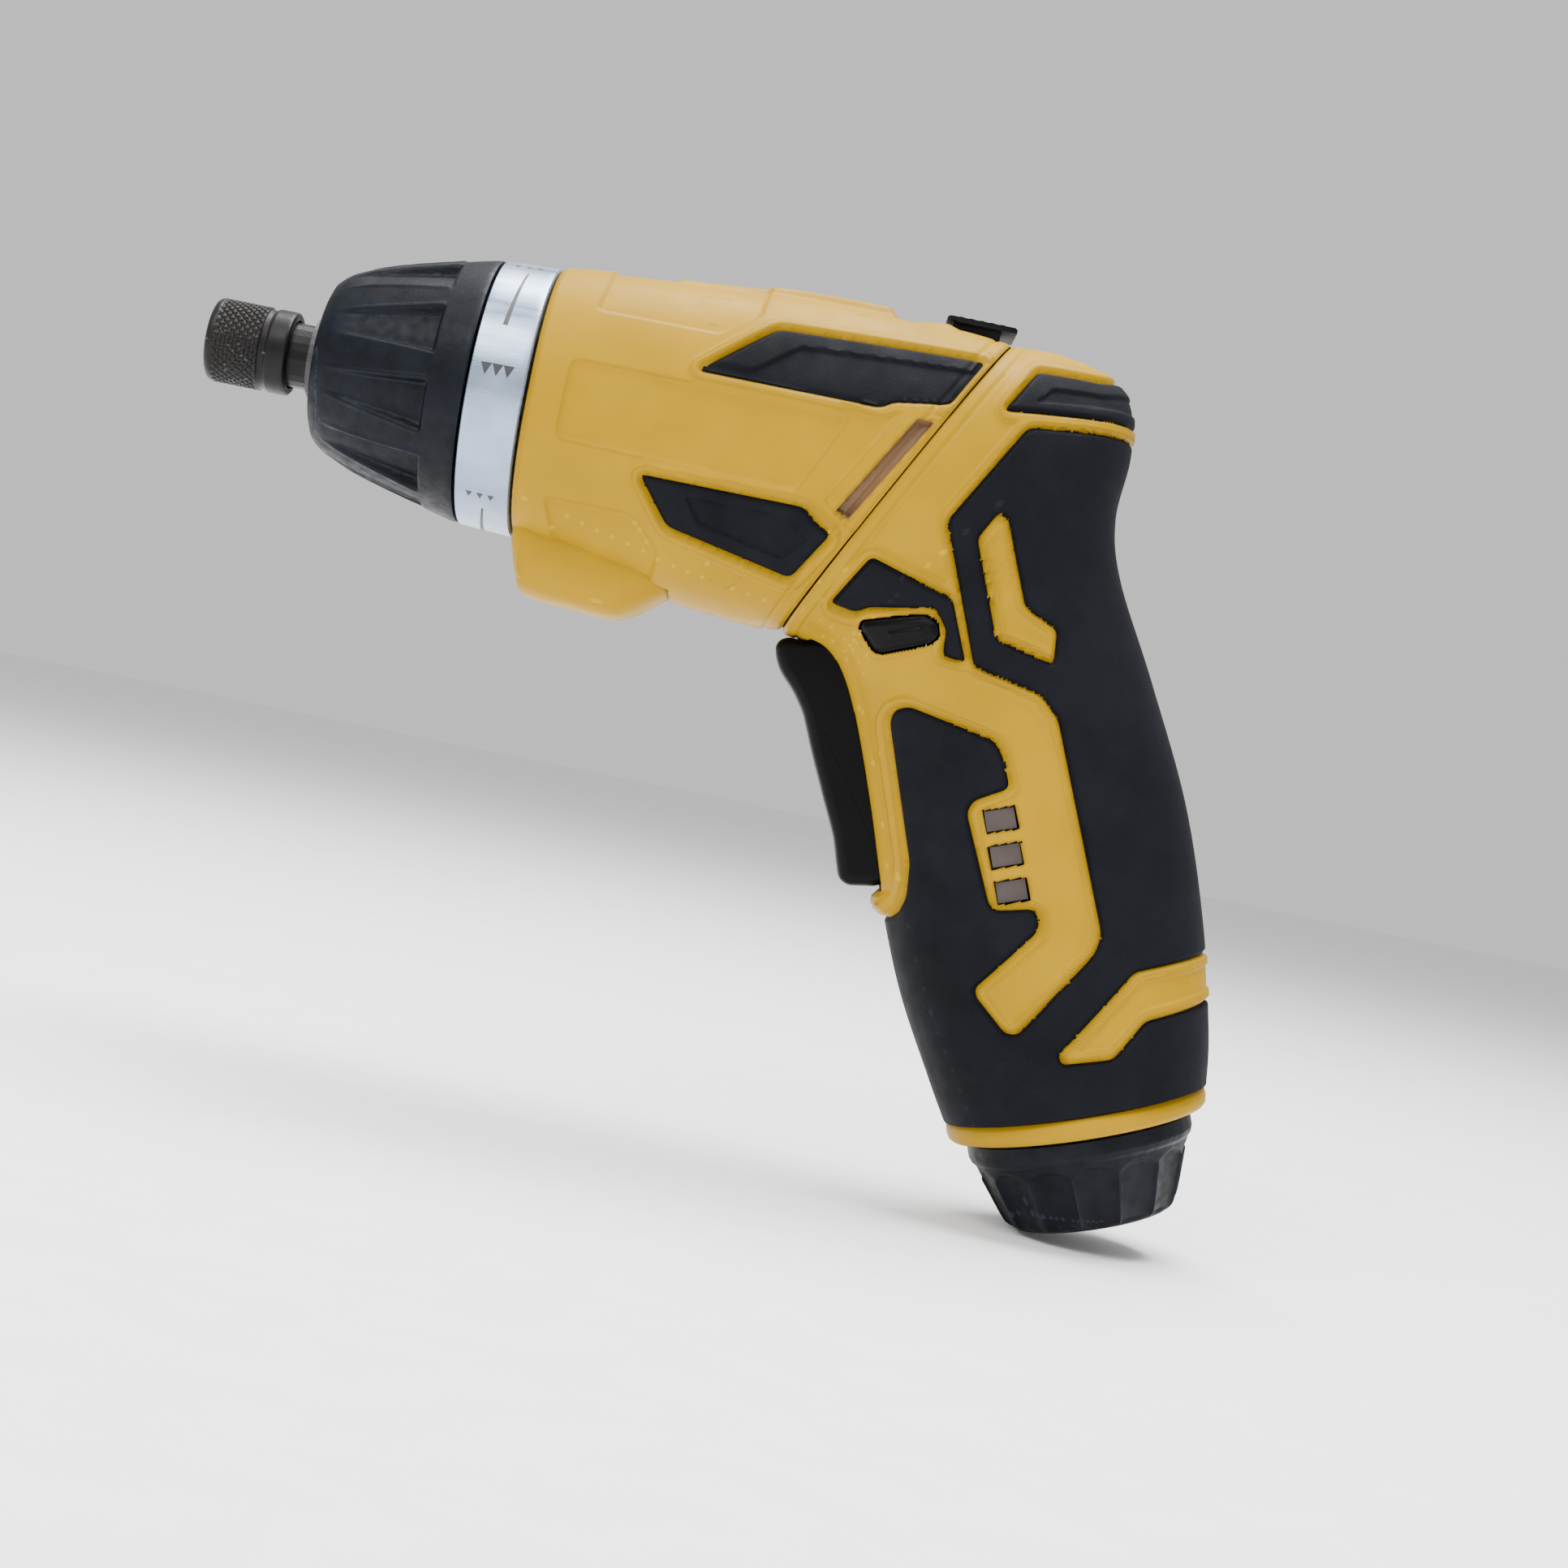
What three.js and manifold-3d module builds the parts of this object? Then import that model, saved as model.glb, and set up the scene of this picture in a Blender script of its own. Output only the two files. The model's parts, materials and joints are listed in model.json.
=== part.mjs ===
// Swivel-handle cordless screwdriver, millimetres, +Z up, bit towards -X.
// The origin is the bit seat: the face of the magnet at the bottom of the hex socket.
import * as THREE from "three";
import { mergeVertices } from "three/addons/utils/BufferGeometryUtils.js";
import Module from "manifold-3d";

const wasm = await Module();
wasm.setup();

// ---------------------------------------------------------------- driving dimensions
const HEX_AF = 6.4;            // quarter-inch hex socket, across flats
const SOCKET_DEPTH = 14.6;     // magnet face to spindle tip
const SLEEVE = { front: -15.6, back: -1.2, radius: 7.3 };
const NOSE = { front: 2.4, step: 6.4, rim: 6.9, radius: 8.8, bore: 6.1 };
const COLLAR = { front: 4.2, back: 32.2, bore: 7.3 };
const SCALE = { front: 32.5, back: 42.1, radius: 23.5, bore: 20.9 };
const CASE = { front: 33.2, back: 60.4, radius: 19.8, wall: 1.2 };
const GEAR = { module: 0.68, sun: 9, planet: 18, ring: 45, face: 6.6, backlash: 0.14 };
const STAGE = { output: 40.4, input: 50.4 };     // front faces of the two planet sets
const MOTOR = { front: 61.0, back: 90.0, radius: 13.8 };
const WALL = 3.0;
const PAD = 1.5;               // thickness of the soft inserts
const PAD_GAP = 0.3;
const SPLIT = 0.15;            // each half shell stops this far from the middle plane
const ROUND = 2.3;             // superellipse power of the body cross-sections
const SWIVEL = { x: 105.9, z: -2.0, lean: 20.5, gap: 0.4, half: 31.4, width: 24.0 };
const HUB = { radius: 11.4, bore: 8.0, flange: 14.0, near: 3.4, far: 6.2 };
const CAP = { t: 13.7, radius: 19.6, spigot: 16.9, top: -113.8, bottom: -130.2 };
const CELL = { radius: 7.1, bottom: -105.0, top: -56.0, offset: 8.3 };
const SIDES = 20;              // facets round a body cross-section

const seamAngle = THREE.MathUtils.degToRad(62.4);
const leanAngle = THREE.MathUtils.degToRad(SWIVEL.lean);
const swivelAxis = new THREE.Vector3(Math.sin(seamAngle), 0, -Math.cos(seamAngle));
const seamLine = new THREE.Vector3(Math.cos(seamAngle), 0, Math.sin(seamAngle));

// ---------------------------------------------------------------- solids from meshes
function solid(geometry) {
  const bare = new THREE.BufferGeometry();
  bare.setAttribute("position", geometry.getAttribute("position"));
  if (geometry.index) bare.setIndex(geometry.index);
  const merged = mergeVertices(bare, 1e-4);
  const index = [];
  for (let i = 0; i < merged.index.count; i += 3) {
    const [a, b, c] = [0, 1, 2].map((k) => merged.index.getX(i + k));
    if (a !== b && b !== c && a !== c) index.push(a, b, c);
  }
  const mesh = new wasm.Mesh({
    numProp: 3,
    vertProperties: new Float32Array(merged.getAttribute("position").array),
    triVerts: new Uint32Array(index),
  });
  return new wasm.Manifold(mesh);
}

function geometryOf(manifold) {
  const mesh = manifold.getMesh();
  const geometry = new THREE.BufferGeometry();
  geometry.setAttribute("position", new THREE.BufferAttribute(new Float32Array(mesh.vertProperties), 3));
  geometry.setIndex(new THREE.BufferAttribute(new Uint32Array(mesh.triVerts), 1));
  return geometry;
}

function moved(geometry, matrix) {
  return geometry.clone().applyMatrix4(matrix);
}

function union(first, ...rest) {
  return rest.reduce((sum, item) => sum.add(item), first);
}

function cut(first, ...rest) {
  return rest.reduce((body, item) => body.subtract(item), first);
}

// ---------------------------------------------------------------- basic shapes
// A closed turned profile given as [radius, axial] pairs, axis along +Z.
function turned(profile, segments = 24) {
  const points = profile.map(([r, a]) => new THREE.Vector2(r, a));
  const closed = profile[0][0] > 0;
  if (closed) points.push(points[0].clone());
  return new THREE.LatheGeometry(points, segments).rotateX(Math.PI / 2);
}

function fixWinding(geometry) {
  const body = solid(geometry);
  if (body.volume() > 0) return body;
  const flipped = geometry.clone();
  const index = flipped.index.array;
  for (let i = 0; i < index.length; i += 3) [index[i], index[i + 1]] = [index[i + 1], index[i]];
  return solid(flipped);
}

const toX = new THREE.Matrix4().makeRotationY(Math.PI / 2);
const toY = new THREE.Matrix4().makeRotationX(-Math.PI / 2);

// Turned about the spindle line: [radius, x] pairs.
function turnedX(profile, segments = 24) {
  return fixWinding(moved(turned(profile, segments), toX));
}

// Turned about a line parallel to Y through (x, z): [radius, y] pairs.
function turnedY(profile, x, z, segments = 16) {
  const place = new THREE.Matrix4().makeTranslation(x, 0, z).multiply(toY);
  return fixWinding(moved(turned(profile, segments), place));
}

// Turned about a line parallel to Z through (x, y): [radius, z] pairs.
function turnedZ(profile, x, y, segments = 24) {
  return fixWinding(moved(turned(profile, segments), new THREE.Matrix4().makeTranslation(x, y, 0)));
}

function tubeX(outer, inner, x0, x1, segments = 24) {
  return turnedX([[inner, x0], [outer, x0], [outer, x1], [inner, x1]], segments);
}

function rodX(radius, x0, x1, segments = 24) {
  return turnedX([[0, x0], [radius, x0], [radius, x1], [0, x1]], segments);
}

function rodY(radius, x, z, y0, y1, segments = 16) {
  return turnedY([[0, y0], [radius, y0], [radius, y1], [0, y1]], x, z, segments);
}

function block(x0, x1, y0, y1, z0, z1) {
  const geometry = new THREE.BoxGeometry(x1 - x0, y1 - y0, z1 - z0);
  geometry.translate((x0 + x1) / 2, (y0 + y1) / 2, (z0 + z1) / 2);
  return solid(geometry);
}

// A prism along Y from an outline of [x, z] points.
function slabY(outline, y0, y1) {
  const shape = new THREE.Shape(outline.map(([x, z]) => new THREE.Vector2(x, z)));
  const geometry = new THREE.ExtrudeGeometry(shape, { depth: y1 - y0, bevelEnabled: false });
  geometry.applyMatrix4(new THREE.Matrix4().makeRotationX(Math.PI / 2));
  geometry.translate(0, y1, 0);
  return solid(geometry);
}

// A prism along X from an outline of [y, z] points.
function slabX(outline, x0, x1) {
  const shape = new THREE.Shape(outline.map(([y, z]) => new THREE.Vector2(y, z)));
  const geometry = new THREE.ExtrudeGeometry(shape, { depth: x1 - x0, bevelEnabled: false });
  const basis = new THREE.Matrix4().makeBasis(
    new THREE.Vector3(0, 1, 0), new THREE.Vector3(0, 0, 1), new THREE.Vector3(1, 0, 0));
  geometry.applyMatrix4(basis);
  geometry.translate(x0, 0, 0);
  return solid(geometry);
}

// The outline grown by a distance (mitred), used for the pockets round the inserts.
function grown(outline, distance) {
  const area = outline.reduce((sum, [x, z], i) => {
    const [u, v] = outline[(i + 1) % outline.length];
    return sum + x * v - u * z;
  }, 0);
  const side = area > 0 ? 1 : -1;
  const n = outline.length;
  return outline.map(([x, z], i) => {
    const before = outline[(i + n - 1) % n];
    const after = outline[(i + 1) % n];
    const a = new THREE.Vector2(x - before[0], z - before[1]).normalize();
    const b = new THREE.Vector2(after[0] - x, after[1] - z).normalize();
    const normal = new THREE.Vector2(a.y + b.y, -a.x - b.x).normalize();
    const reach = distance / Math.max(0.5, normal.dot(new THREE.Vector2(a.y, -a.x)));
    return [x + side * normal.x * reach, z + side * normal.y * reach];
  });
}

// A body swept through sections: each is [topX, topZ, bottomX, bottomZ, halfWidth].
function swept(sections, inset = 0, power = ROUND) {
  const positions = [];
  const index = [];
  const rings = sections.length;
  sections.forEach(([tx, tz, bx, bz, w]) => {
    const chord = Math.hypot(tx - bx, tz - bz);
    const ux = (tx - bx) / chord;
    const uz = (tz - bz) / chord;
    for (let i = 0; i < SIDES; i++) {
      const angle = (2 * Math.PI * i) / SIDES;
      const c = Math.sign(Math.cos(angle)) * Math.abs(Math.cos(angle)) ** (2 / power);
      const s = Math.sign(Math.sin(angle)) * Math.abs(Math.sin(angle)) ** (2 / power);
      const along = c * (chord / 2 - inset);
      positions.push((tx + bx) / 2 + ux * along, s * (w - inset), (tz + bz) / 2 + uz * along);
    }
  });
  for (let r = 0; r < rings - 1; r++) {
    for (let i = 0; i < SIDES; i++) {
      const j = (i + 1) % SIDES;
      const [a, b, c, d] = [r * SIDES + i, r * SIDES + j, (r + 1) * SIDES + i, (r + 1) * SIDES + j];
      index.push(a, c, b, b, c, d);
    }
  }
  for (let i = 1; i < SIDES - 1; i++) {
    const last = (rings - 1) * SIDES;
    index.push(0, i, i + 1);
    index.push(last, last + i + 1, last + i);
  }
  const geometry = new THREE.BufferGeometry();
  geometry.setAttribute("position", new THREE.BufferAttribute(new Float32Array(positions), 3));
  geometry.setIndex(index);
  return fixWinding(geometry);
}

// A helical wire with closed ends: axis along +Z from z0 to z1.
function coil(radius, wire, z0, z1, turns, steps = 14, facets = 5) {
  const positions = [];
  const index = [];
  const count = Math.round(turns * steps);
  for (let i = 0; i <= count; i++) {
    const angle = (2 * Math.PI * i) / steps;
    const z = z0 + wire + ((z1 - z0 - 2 * wire) * i) / count;
    for (let k = 0; k < facets; k++) {
      const around = (2 * Math.PI * k) / facets;
      const r = radius + wire * Math.cos(around);
      positions.push(r * Math.cos(angle), r * Math.sin(angle), z + wire * Math.sin(around));
    }
  }
  for (let i = 0; i < count; i++) {
    for (let k = 0; k < facets; k++) {
      const m = (k + 1) % facets;
      const [a, b] = [i * facets + k, i * facets + m];
      index.push(a, a + facets, b, b, a + facets, b + facets);
    }
  }
  for (let k = 1; k < facets - 1; k++) {
    index.push(0, k, k + 1);
    index.push(count * facets, count * facets + k + 1, count * facets + k);
  }
  const geometry = new THREE.BufferGeometry();
  geometry.setAttribute("position", new THREE.BufferAttribute(new Float32Array(positions), 3));
  geometry.setIndex(index);
  return geometry;
}

// ---------------------------------------------------------------- group and materials
const group = new THREE.Group();
const handleFrame = new THREE.Matrix4()
  .makeTranslation(SWIVEL.x, 0, SWIVEL.z)
  .multiply(new THREE.Matrix4().makeRotationY(-leanAngle));

const tint = {
  yellow: 0xd8b648, black: 0x22252c, gloss: 0x101114, steel: 0xa9b0b8, dark: 0x1b1b1d, brass: 0xb79a52,
  copper: 0xa9623a, clear: 0xe8edf2, natural: 0xd9d7cf, cell: 0x3f7d5a,
};

function piece(name, body, colour) {
  const material = new THREE.MeshStandardMaterial({ color: tint[colour], name: `${name}_material` });
  const mesh = new THREE.Mesh(geometryOf(body), material);
  mesh.name = name;
  group.add(mesh);
}

// The same for a body modelled in the handle's own frame.
function handlePiece(name, body, colour) {
  const material = new THREE.MeshStandardMaterial({ color: tint[colour], name: `${name}_material` });
  const mesh = new THREE.Mesh(geometryOf(body).applyMatrix4(handleFrame), material);
  mesh.name = name;
  group.add(mesh);
}

const leftHalf = block(-60, 220, -60, -SPLIT, -160, 60);
const rightHalf = block(-60, 220, SPLIT, 60, -160, 60);

// ---------------------------------------------------------------- head body form
const headSections = [
  [42.6, 23.5, 42.6, -23.5, 23.5],
  [50, 24.5, 49, -25.0, 24.0],
  [62, 25.6, 58, -27.0, 24.3],
  [80, 26.7, 70, -28.9, 24.5],
  [98, 27.0, 80, -29.9, 24.5],
  [112, 26.6, 87.5, -30.3, 24.3],
  sectionAtSeam(-SWIVEL.gap / 2),
];

function sectionAtSeam(distance) {
  const { x, z, half, width } = SWIVEL;
  const [cx, cz] = [x + swivelAxis.x * distance, z + swivelAxis.z * distance];
  const [dx, dz] = [seamLine.x * half, seamLine.z * half];
  return [cx + dx, cz + dz, cx - dx, cz - dz, width];
}

// Everything beyond a plane square to the swivel axis, at a distance past the seam.
function beyondSeam(distance, span = 80) {
  const geometry = new THREE.BoxGeometry(span, 120, 120);
  geometry.translate(span / 2 + distance, 0, 0);
  geometry.applyMatrix4(new THREE.Matrix4().makeRotationY(Math.PI / 2 - seamAngle));
  geometry.translate(SWIVEL.x, 0, SWIVEL.z);
  return solid(geometry);
}

function turnedSwivel(profile, segments = 24) {
  const place = new THREE.Matrix4()
    .makeTranslation(SWIVEL.x, 0, SWIVEL.z)
    .multiply(new THREE.Matrix4().makeRotationY(Math.PI / 2 - seamAngle))
    .multiply(toX);
  return fixWinding(moved(turned(profile, segments), place));
}

const ledBoss = [
  [43.0, -14, 43.0, -25.6, 9.5],
  [45.5, -14, 45.7, -32.9, 11],
  [60, -14, 61.5, -34.2, 11.5],
  [66, -14, 66.8, -31.8, 11],
  [72, -14, 72, -27.0, 9],
];
const raisedTop = [[61.5, 20], [61.5, 25.4], [63.4, 26.9], [72.2, 27.3], [97.7, 28.1], [100.2, 27.0],
  [100.2, 20]];
const headInsert = {
  upper: [[69.4, 7.9], [81, 18.1], [116, 20.0], [111.4, 10.9], [102.1, 9.3], [100.2, 7.9]],
  lower: [[63.4, -10.9], [91.2, -10.9], [93.2, -12.8], [96.3, -14.4], [91.0, -22.6], [69.2, -18.3]],
};
const ventSlot = [[106.5, 7.3], [109.3, 7.1], [98.6, -11.3], [96.3, -10.3]];
const centrePanel = [[49, 5.4], [95.5, 5.2], [89.2, -8.4], [48.8, -7.5]];
const LENS = { z: -28.6, radius: 2.5, front: 44.6, back: 54.4 };

// ---------------------------------------------------------------- screws and bosses
const headScrews = [[70, 19.3], [94, 21.0], [80, -22.5]];
const handleScrews = [[19.2, 5.2], [27, -38], [-6.8, -88], [33.2, -88]];
const SCREW = { shank: 1.3, head: 2.7, headTop: 15.6, headBase: 13.6, tip: -3.0, boss: 2.9 };

function screw(x, z) {
  const s = SCREW;
  const profile = [[0, s.tip], [s.shank, s.tip + 1.4], [s.shank, s.headBase], [s.head, s.headBase],
    [s.head, s.headTop - 0.5], [s.head - 0.8, s.headTop], [1.0, s.headTop], [0, s.headTop - 1.0]];
  return turnedY(profile, x, z, 10);
}

function boss(x, z) {
  return union(rodY(SCREW.boss, x, z, -17.5, 12, 10), rodY(SCREW.boss + 1.6, x, z, 11, 17.5, 10));
}

function screwHole(x, z) {
  const s = SCREW;
  const profile = [[0, s.tip - 1], [s.shank + 0.25, s.tip - 1], [s.shank + 0.25, s.headBase - 0.3],
    [s.head + 0.35, s.headBase - 0.3], [s.head + 0.35, 40], [0, 40]];
  return turnedY(profile, x, z, 10);
}

function bossesIn(places, core) {
  return places.map(([x, z]) => boss(x, z).intersect(core));
}

// ---------------------------------------------------------------- head shells and inserts
const headOuter = swept(headSections);
const headInside = swept(headSections, WALL);
const headWallPlane = beyondSeam(-2.9);

function buildHead() {
  const form = union(headOuter, swept(ledBoss, 0, 3.4), slabY(raisedTop, -9, 9).intersect(leftRight()));
  const frontOpening = rodX(CASE.radius + 0.5, 30, 62, 28);
  const bossRoom = swept(ledBoss, 2.2, 3.4).intersect(block(55, 72, -20, 20, -40, -20));
  const cavity = union(cut(headInside, headWallPlane), bossRoom);
  let shell = cut(form, beyondSeam(-SWIVEL.gap / 2));
  shell = cut(shell, cavity, frontOpening);
  const bosses = bossesIn(headScrews, headOuter);
  shell = union(shell, ...bosses);
  shell = cut(shell, ...headScrews.map(([x, z]) => screwHole(x, z)));
  shell = cut(shell, turnedSwivel([[0, -12], [HUB.radius + 0.5, -12], [HUB.radius + 0.5, 12], [0, 12]]));
  shell = cut(shell, rodX(LENS.radius + 0.3, 36, LENS.back + 0.3, 16).translate([0, 0, LENS.z]));
  shell = cut(shell, ...lockPockets());
  const padCore = swept(headSections, PAD + PAD_GAP);
  for (const outline of Object.values(headInsert)) {
    shell = cut(shell, slabY(grown(outline, PAD_GAP), -40, 40).subtract(padCore));
  }
  shell = cut(shell, slabY(ventSlot, -40, 40).subtract(swept(headSections, 2.0)));
  shell = cut(shell, slabY(centrePanel, -40, 40).subtract(swept(headSections, 0.5)));
  piece("head_shell_left", shell.intersect(leftHalf), "yellow");
  piece("head_shell_right", shell.intersect(rightHalf), "yellow");
  const skin = cut(headOuter, swept(headSections, PAD));
  for (const [name, outline] of Object.entries(headInsert)) {
    const pads = slabY(outline, -40, 40).intersect(skin);
    piece(`head_insert_${name}_left`, pads.intersect(leftHalf), "black");
    piece(`head_insert_${name}_right`, pads.intersect(rightHalf), "black");
  }
  headScrews.forEach(([x, z], i) => piece(`head_screw_${i + 1}`, screw(x, z), "dark"));
}

function leftRight() {
  return block(0, 200, -40, 40, -40, 60);
}

// ---------------------------------------------------------------- swivel lock on top of the head
const LOCK = { x0: 109.6, x1: 118.0, width: 5.0, top: 28.75, travel: 2.5 };
const lockPlate = [[108.5, 28.2], [110.2, 27.5], [120.7, 27.5], [120.7, 28.1], [120.3, 28.45],
  [109.0, 28.45]];

function lockPockets() {
  const side = LOCK.width + 0.4;
  const slot = block(LOCK.x0 - LOCK.travel - 0.4, LOCK.x1 + 0.4, -side, side, 22.0, 40);
  const room = block(99.5, 115.2, -7.6, 7.6, 19.2, 23.2);
  const tongueWay = block(110, 121, -3.9, 3.9, 19.6, 22.2);
  return [slot, room, tongueWay];
}

function buildLock() {
  const ribPlaces = [110.9, 112.7, 114.5, 116.3, 118.1];
  const ribs = ribPlaces.map((x) => block(x - 0.4, x + 0.4, -4.4, 4.4, 28.0, LOCK.top));
  const neck = block(LOCK.x0, LOCK.x1, -LOCK.width, LOCK.width, 22.4, 27.8);
  const knob = union(neck, slabY(lockPlate, -5.6, 5.6), ...ribs);
  const foot = block(LOCK.x0 - 3.0, 114.8, -7.2, 7.2, 19.9, 22.6);
  const tongue = block(112, 116.2, -3.5, 3.5, 20.0, 21.8);
  piece("swivel_lock_button", union(knob, foot, tongue), "black");
  const spring = coil(1.2, 0.3, 99.8, 103.8, 3, 8, 4).applyMatrix4(toX);
  piece("swivel_lock_spring", fixWinding(spring).translate([0, 0, 21.2]), "steel");
}

// ---------------------------------------------------------------- bit holder and spindle
function hexRod(acrossFlats, x0, x1) {
  return rodX(acrossFlats / Math.sqrt(3), x0, x1, 6);
}

function buildSpindle() {
  const tip = -SOCKET_DEPTH;
  const profile = [[0, tip], [4.6, tip], [5.0, tip + 0.4], [5.0, -1.9], [5.6, -1.9],
    [5.6, 36.4], [15.2, 36.4], [15.2, 39.2], [0, 39.2]];
  let body = turnedX(profile, 24);
  body = union(body, ...planetPins(39.0, STAGE.output + GEAR.face - 0.3));
  body = cut(body, hexRod(HEX_AF, tip - 1, 0.0), rodX(2.9, -0.5, 3.4, 16));
  body = cut(body, tubeX(6, 4.5, tip + 1.0, tip + 1.9, 24), rodX(2.6, 30, 41, 16));
  piece("spindle", body, "steel");
  piece("bit_magnet", rodX(2.6, 0, 3.1, 16), "steel");
  const clip = tubeX(5.9, 4.75, tip + 1.2, tip + 1.7, 16);
  piece("sleeve_clip", clip.subtract(block(-20, 0, -1.6, 1.6, 0, 8)), "steel");
  const spring = coil(5.95, 0.28, -7.2, -2.2, 2, 12, 4).applyMatrix4(toX);
  piece("sleeve_spring", fixWinding(spring), "steel");
}

function buildSleeve() {
  const { front, back, radius } = SLEEVE;
  const profile = [[6.2, front], [6.9, front + 0.3], [radius, front + 1.2], [radius, -6.2], [6.95, -5.8],
    [6.95, -5.0], [radius, -4.6], [radius, -2.0], [6.9, back], [5.9, back], [5.9, -1.7], [6.5, -1.7],
    [6.5, -10.9], [5.3, -10.9], [5.3, -12.6], [6.2, -12.6]];
  piece("release_sleeve", turnedX(profile, 24), "dark");
}

// ---------------------------------------------------------------- torque collar
const collarOuter = [[4.2, 12.6], [5.0, 14.3], [8.0, 16.3], [12, 17.9], [18, 19.7], [25.4, 21.6],
  [25.9, 21.8], [30.4, 22.8], [32.2, 23.1]];

// Radius of the fluted nose: long pockets that deepen rearward and end in a step.
function collarRadius(x, base, angle) {
  const flutes = 10;
  const phase = ((angle * flutes) / (2 * Math.PI)) % 1;
  const inPocket = phase > 0.2 && phase < 0.8;
  if (!inPocket || x < 9 || x > 25.6) return base;
  return base - 0.2 - (1.2 * (x - 9)) / 16;
}

function buildCollar() {
  const steps = 40;
  const stations = [...collarOuter];
  const positions = [];
  const index = [];
  const rows = stations.map(([x, r]) => ({ x, radius: (a) => collarRadius(x, r, a) }));
  rows.push({ x: COLLAR.back, radius: () => 20.6 });
  rows.push({ x: 28.0, radius: () => 18.6 });
  rows.push({ x: 9.0, radius: () => 14.2 });
  rows.push({ x: 6.2, radius: () => 12.2 });
  rows.push({ x: 6.2, radius: () => COLLAR.bore });
  rows.push({ x: COLLAR.front, radius: () => COLLAR.bore });
  for (const row of rows) {
    for (let i = 0; i < steps; i++) {
      const angle = (2 * Math.PI * i) / steps;
      const r = row.radius(angle);
      positions.push(row.x, r * Math.cos(angle), r * Math.sin(angle));
    }
  }
  for (let r = 0; r < rows.length; r++) {
    const next = (r + 1) % rows.length;
    for (let i = 0; i < steps; i++) {
      const j = (i + 1) % steps;
      const [a, b, c, d] = [r * steps + i, r * steps + j, next * steps + i, next * steps + j];
      index.push(a, c, b, b, c, d);
    }
  }
  const geometry = new THREE.BufferGeometry();
  geometry.setAttribute("position", new THREE.BufferAttribute(new Float32Array(positions), 3));
  geometry.setIndex(index);
  piece("torque_collar", fixWinding(geometry), "black");
  const { front, back, radius, bore } = SCALE;
  const ring = [[bore, front], [radius - 0.5, front], [radius - 0.2, front + 0.5], [radius, back - 0.5],
    [radius - 0.3, back], [bore, back]];
  piece("torque_scale_ring", turnedX(ring, 36), "steel");
  const nut = tubeX(15.8, 9.4, 19.0, 22.4, 24);
  piece("clutch_nut", nut, "brass");
  const spring = coil(12.2, 0.9, 22.8, 32.8, 3, 16, 5).applyMatrix4(toX);
  piece("clutch_spring", fixWinding(spring), "steel");
}

// ---------------------------------------------------------------- gearbox
function gearOutline(teeth, rootGap, tipReach, internal) {
  const pitch = (GEAR.module * teeth) / 2;
  const [low, high] = internal ? [pitch - tipReach, pitch + rootGap] : [pitch - rootGap, pitch + tipReach];
  const points = [];
  const half = Math.PI / (2 * teeth);
  const slack = GEAR.backlash / (2 * pitch);
  for (let i = 0; i < teeth; i++) {
    const middle = (2 * Math.PI * i) / teeth;
    const wide = half * 1.5 - slack;
    const thin = half * 0.5 - slack;
    const [lowHalf, highHalf] = internal ? [half * 2 - thin, half * 2 - wide] : [wide, thin];
    points.push([low, middle - lowHalf], [high, middle - highHalf], [high, middle + highHalf],
      [low, middle + lowHalf]);
  }
  return points.map(([r, a]) => [r * Math.cos(a), r * Math.sin(a)]);
}

const planetOrbit = (GEAR.module * (GEAR.sun + GEAR.planet)) / 2;
const planetAngles = [0, 1, 2].map((i) => (2 * Math.PI * i) / 3);

function planetCentre(angle) {
  return [planetOrbit * Math.cos(angle), planetOrbit * Math.sin(angle)];
}

function planetPins(x0, x1) {
  return planetAngles.map((angle) => {
    const [y, z] = planetCentre(angle);
    return rodX(1.5, x0, x1, 10).translate([0, y, z]);
  });
}

function turnedOutline(outline, turn) {
  const [c, s] = [Math.cos(turn), Math.sin(turn)];
  return outline.map(([y, z]) => [y * c - z * s, y * s + z * c]);
}

function sunGear(x0, x1) {
  return slabX(gearOutline(GEAR.sun, 0.72, 0.5, false), x0, x1);
}

function buildPlanets(stage, x0) {
  planetAngles.forEach((angle, i) => {
    const outline = turnedOutline(gearOutline(GEAR.planet, 0.72, 0.5, false), Math.PI / GEAR.planet + angle);
    const gear = slabX(outline, x0, x0 + GEAR.face).subtract(rodX(1.75, x0 - 1, x0 + GEAR.face + 1, 10));
    const [y, z] = planetCentre(angle);
    piece(`planet_${stage}_${i + 1}`, gear.translate([0, y, z]), "natural");
  });
}

function buildGearbox() {
  const ringOutline = turnedOutline(gearOutline(GEAR.ring, 0.7, 0.48, true), Math.PI / GEAR.ring);
  const ringTeeth = slabX(ringOutline, 30, 70);
  const ring = rodX(CASE.radius - CASE.wall - 0.4, 39.8, 57.4, 28).subtract(ringTeeth);
  piece("ring_gear", ring, "steel");
  buildPlanets("output", STAGE.output);
  buildPlanets("input", STAGE.input);
  const disc = rodX(12.4, 47.4, 49.8, 20);
  const pins = planetPins(49.6, STAGE.input + GEAR.face - 0.3);
  const carrier = union(disc, ...pins, sunGear(STAGE.output + 0.2, 47.6));
  piece("input_carrier", carrier, "steel");
  const { front, back, radius, wall } = CASE;
  const profile = [[NOSE.bore, NOSE.front], [NOSE.rim, NOSE.front], [NOSE.rim, NOSE.step],
    [NOSE.radius, NOSE.step], [NOSE.radius, front], [radius, front], [radius, back],
    [radius - wall, back], [radius - wall, front + 2.2],
    [NOSE.bore, front + 2.2]];
  piece("gearbox_case", turnedX(profile, 28), "dark");
}

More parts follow.
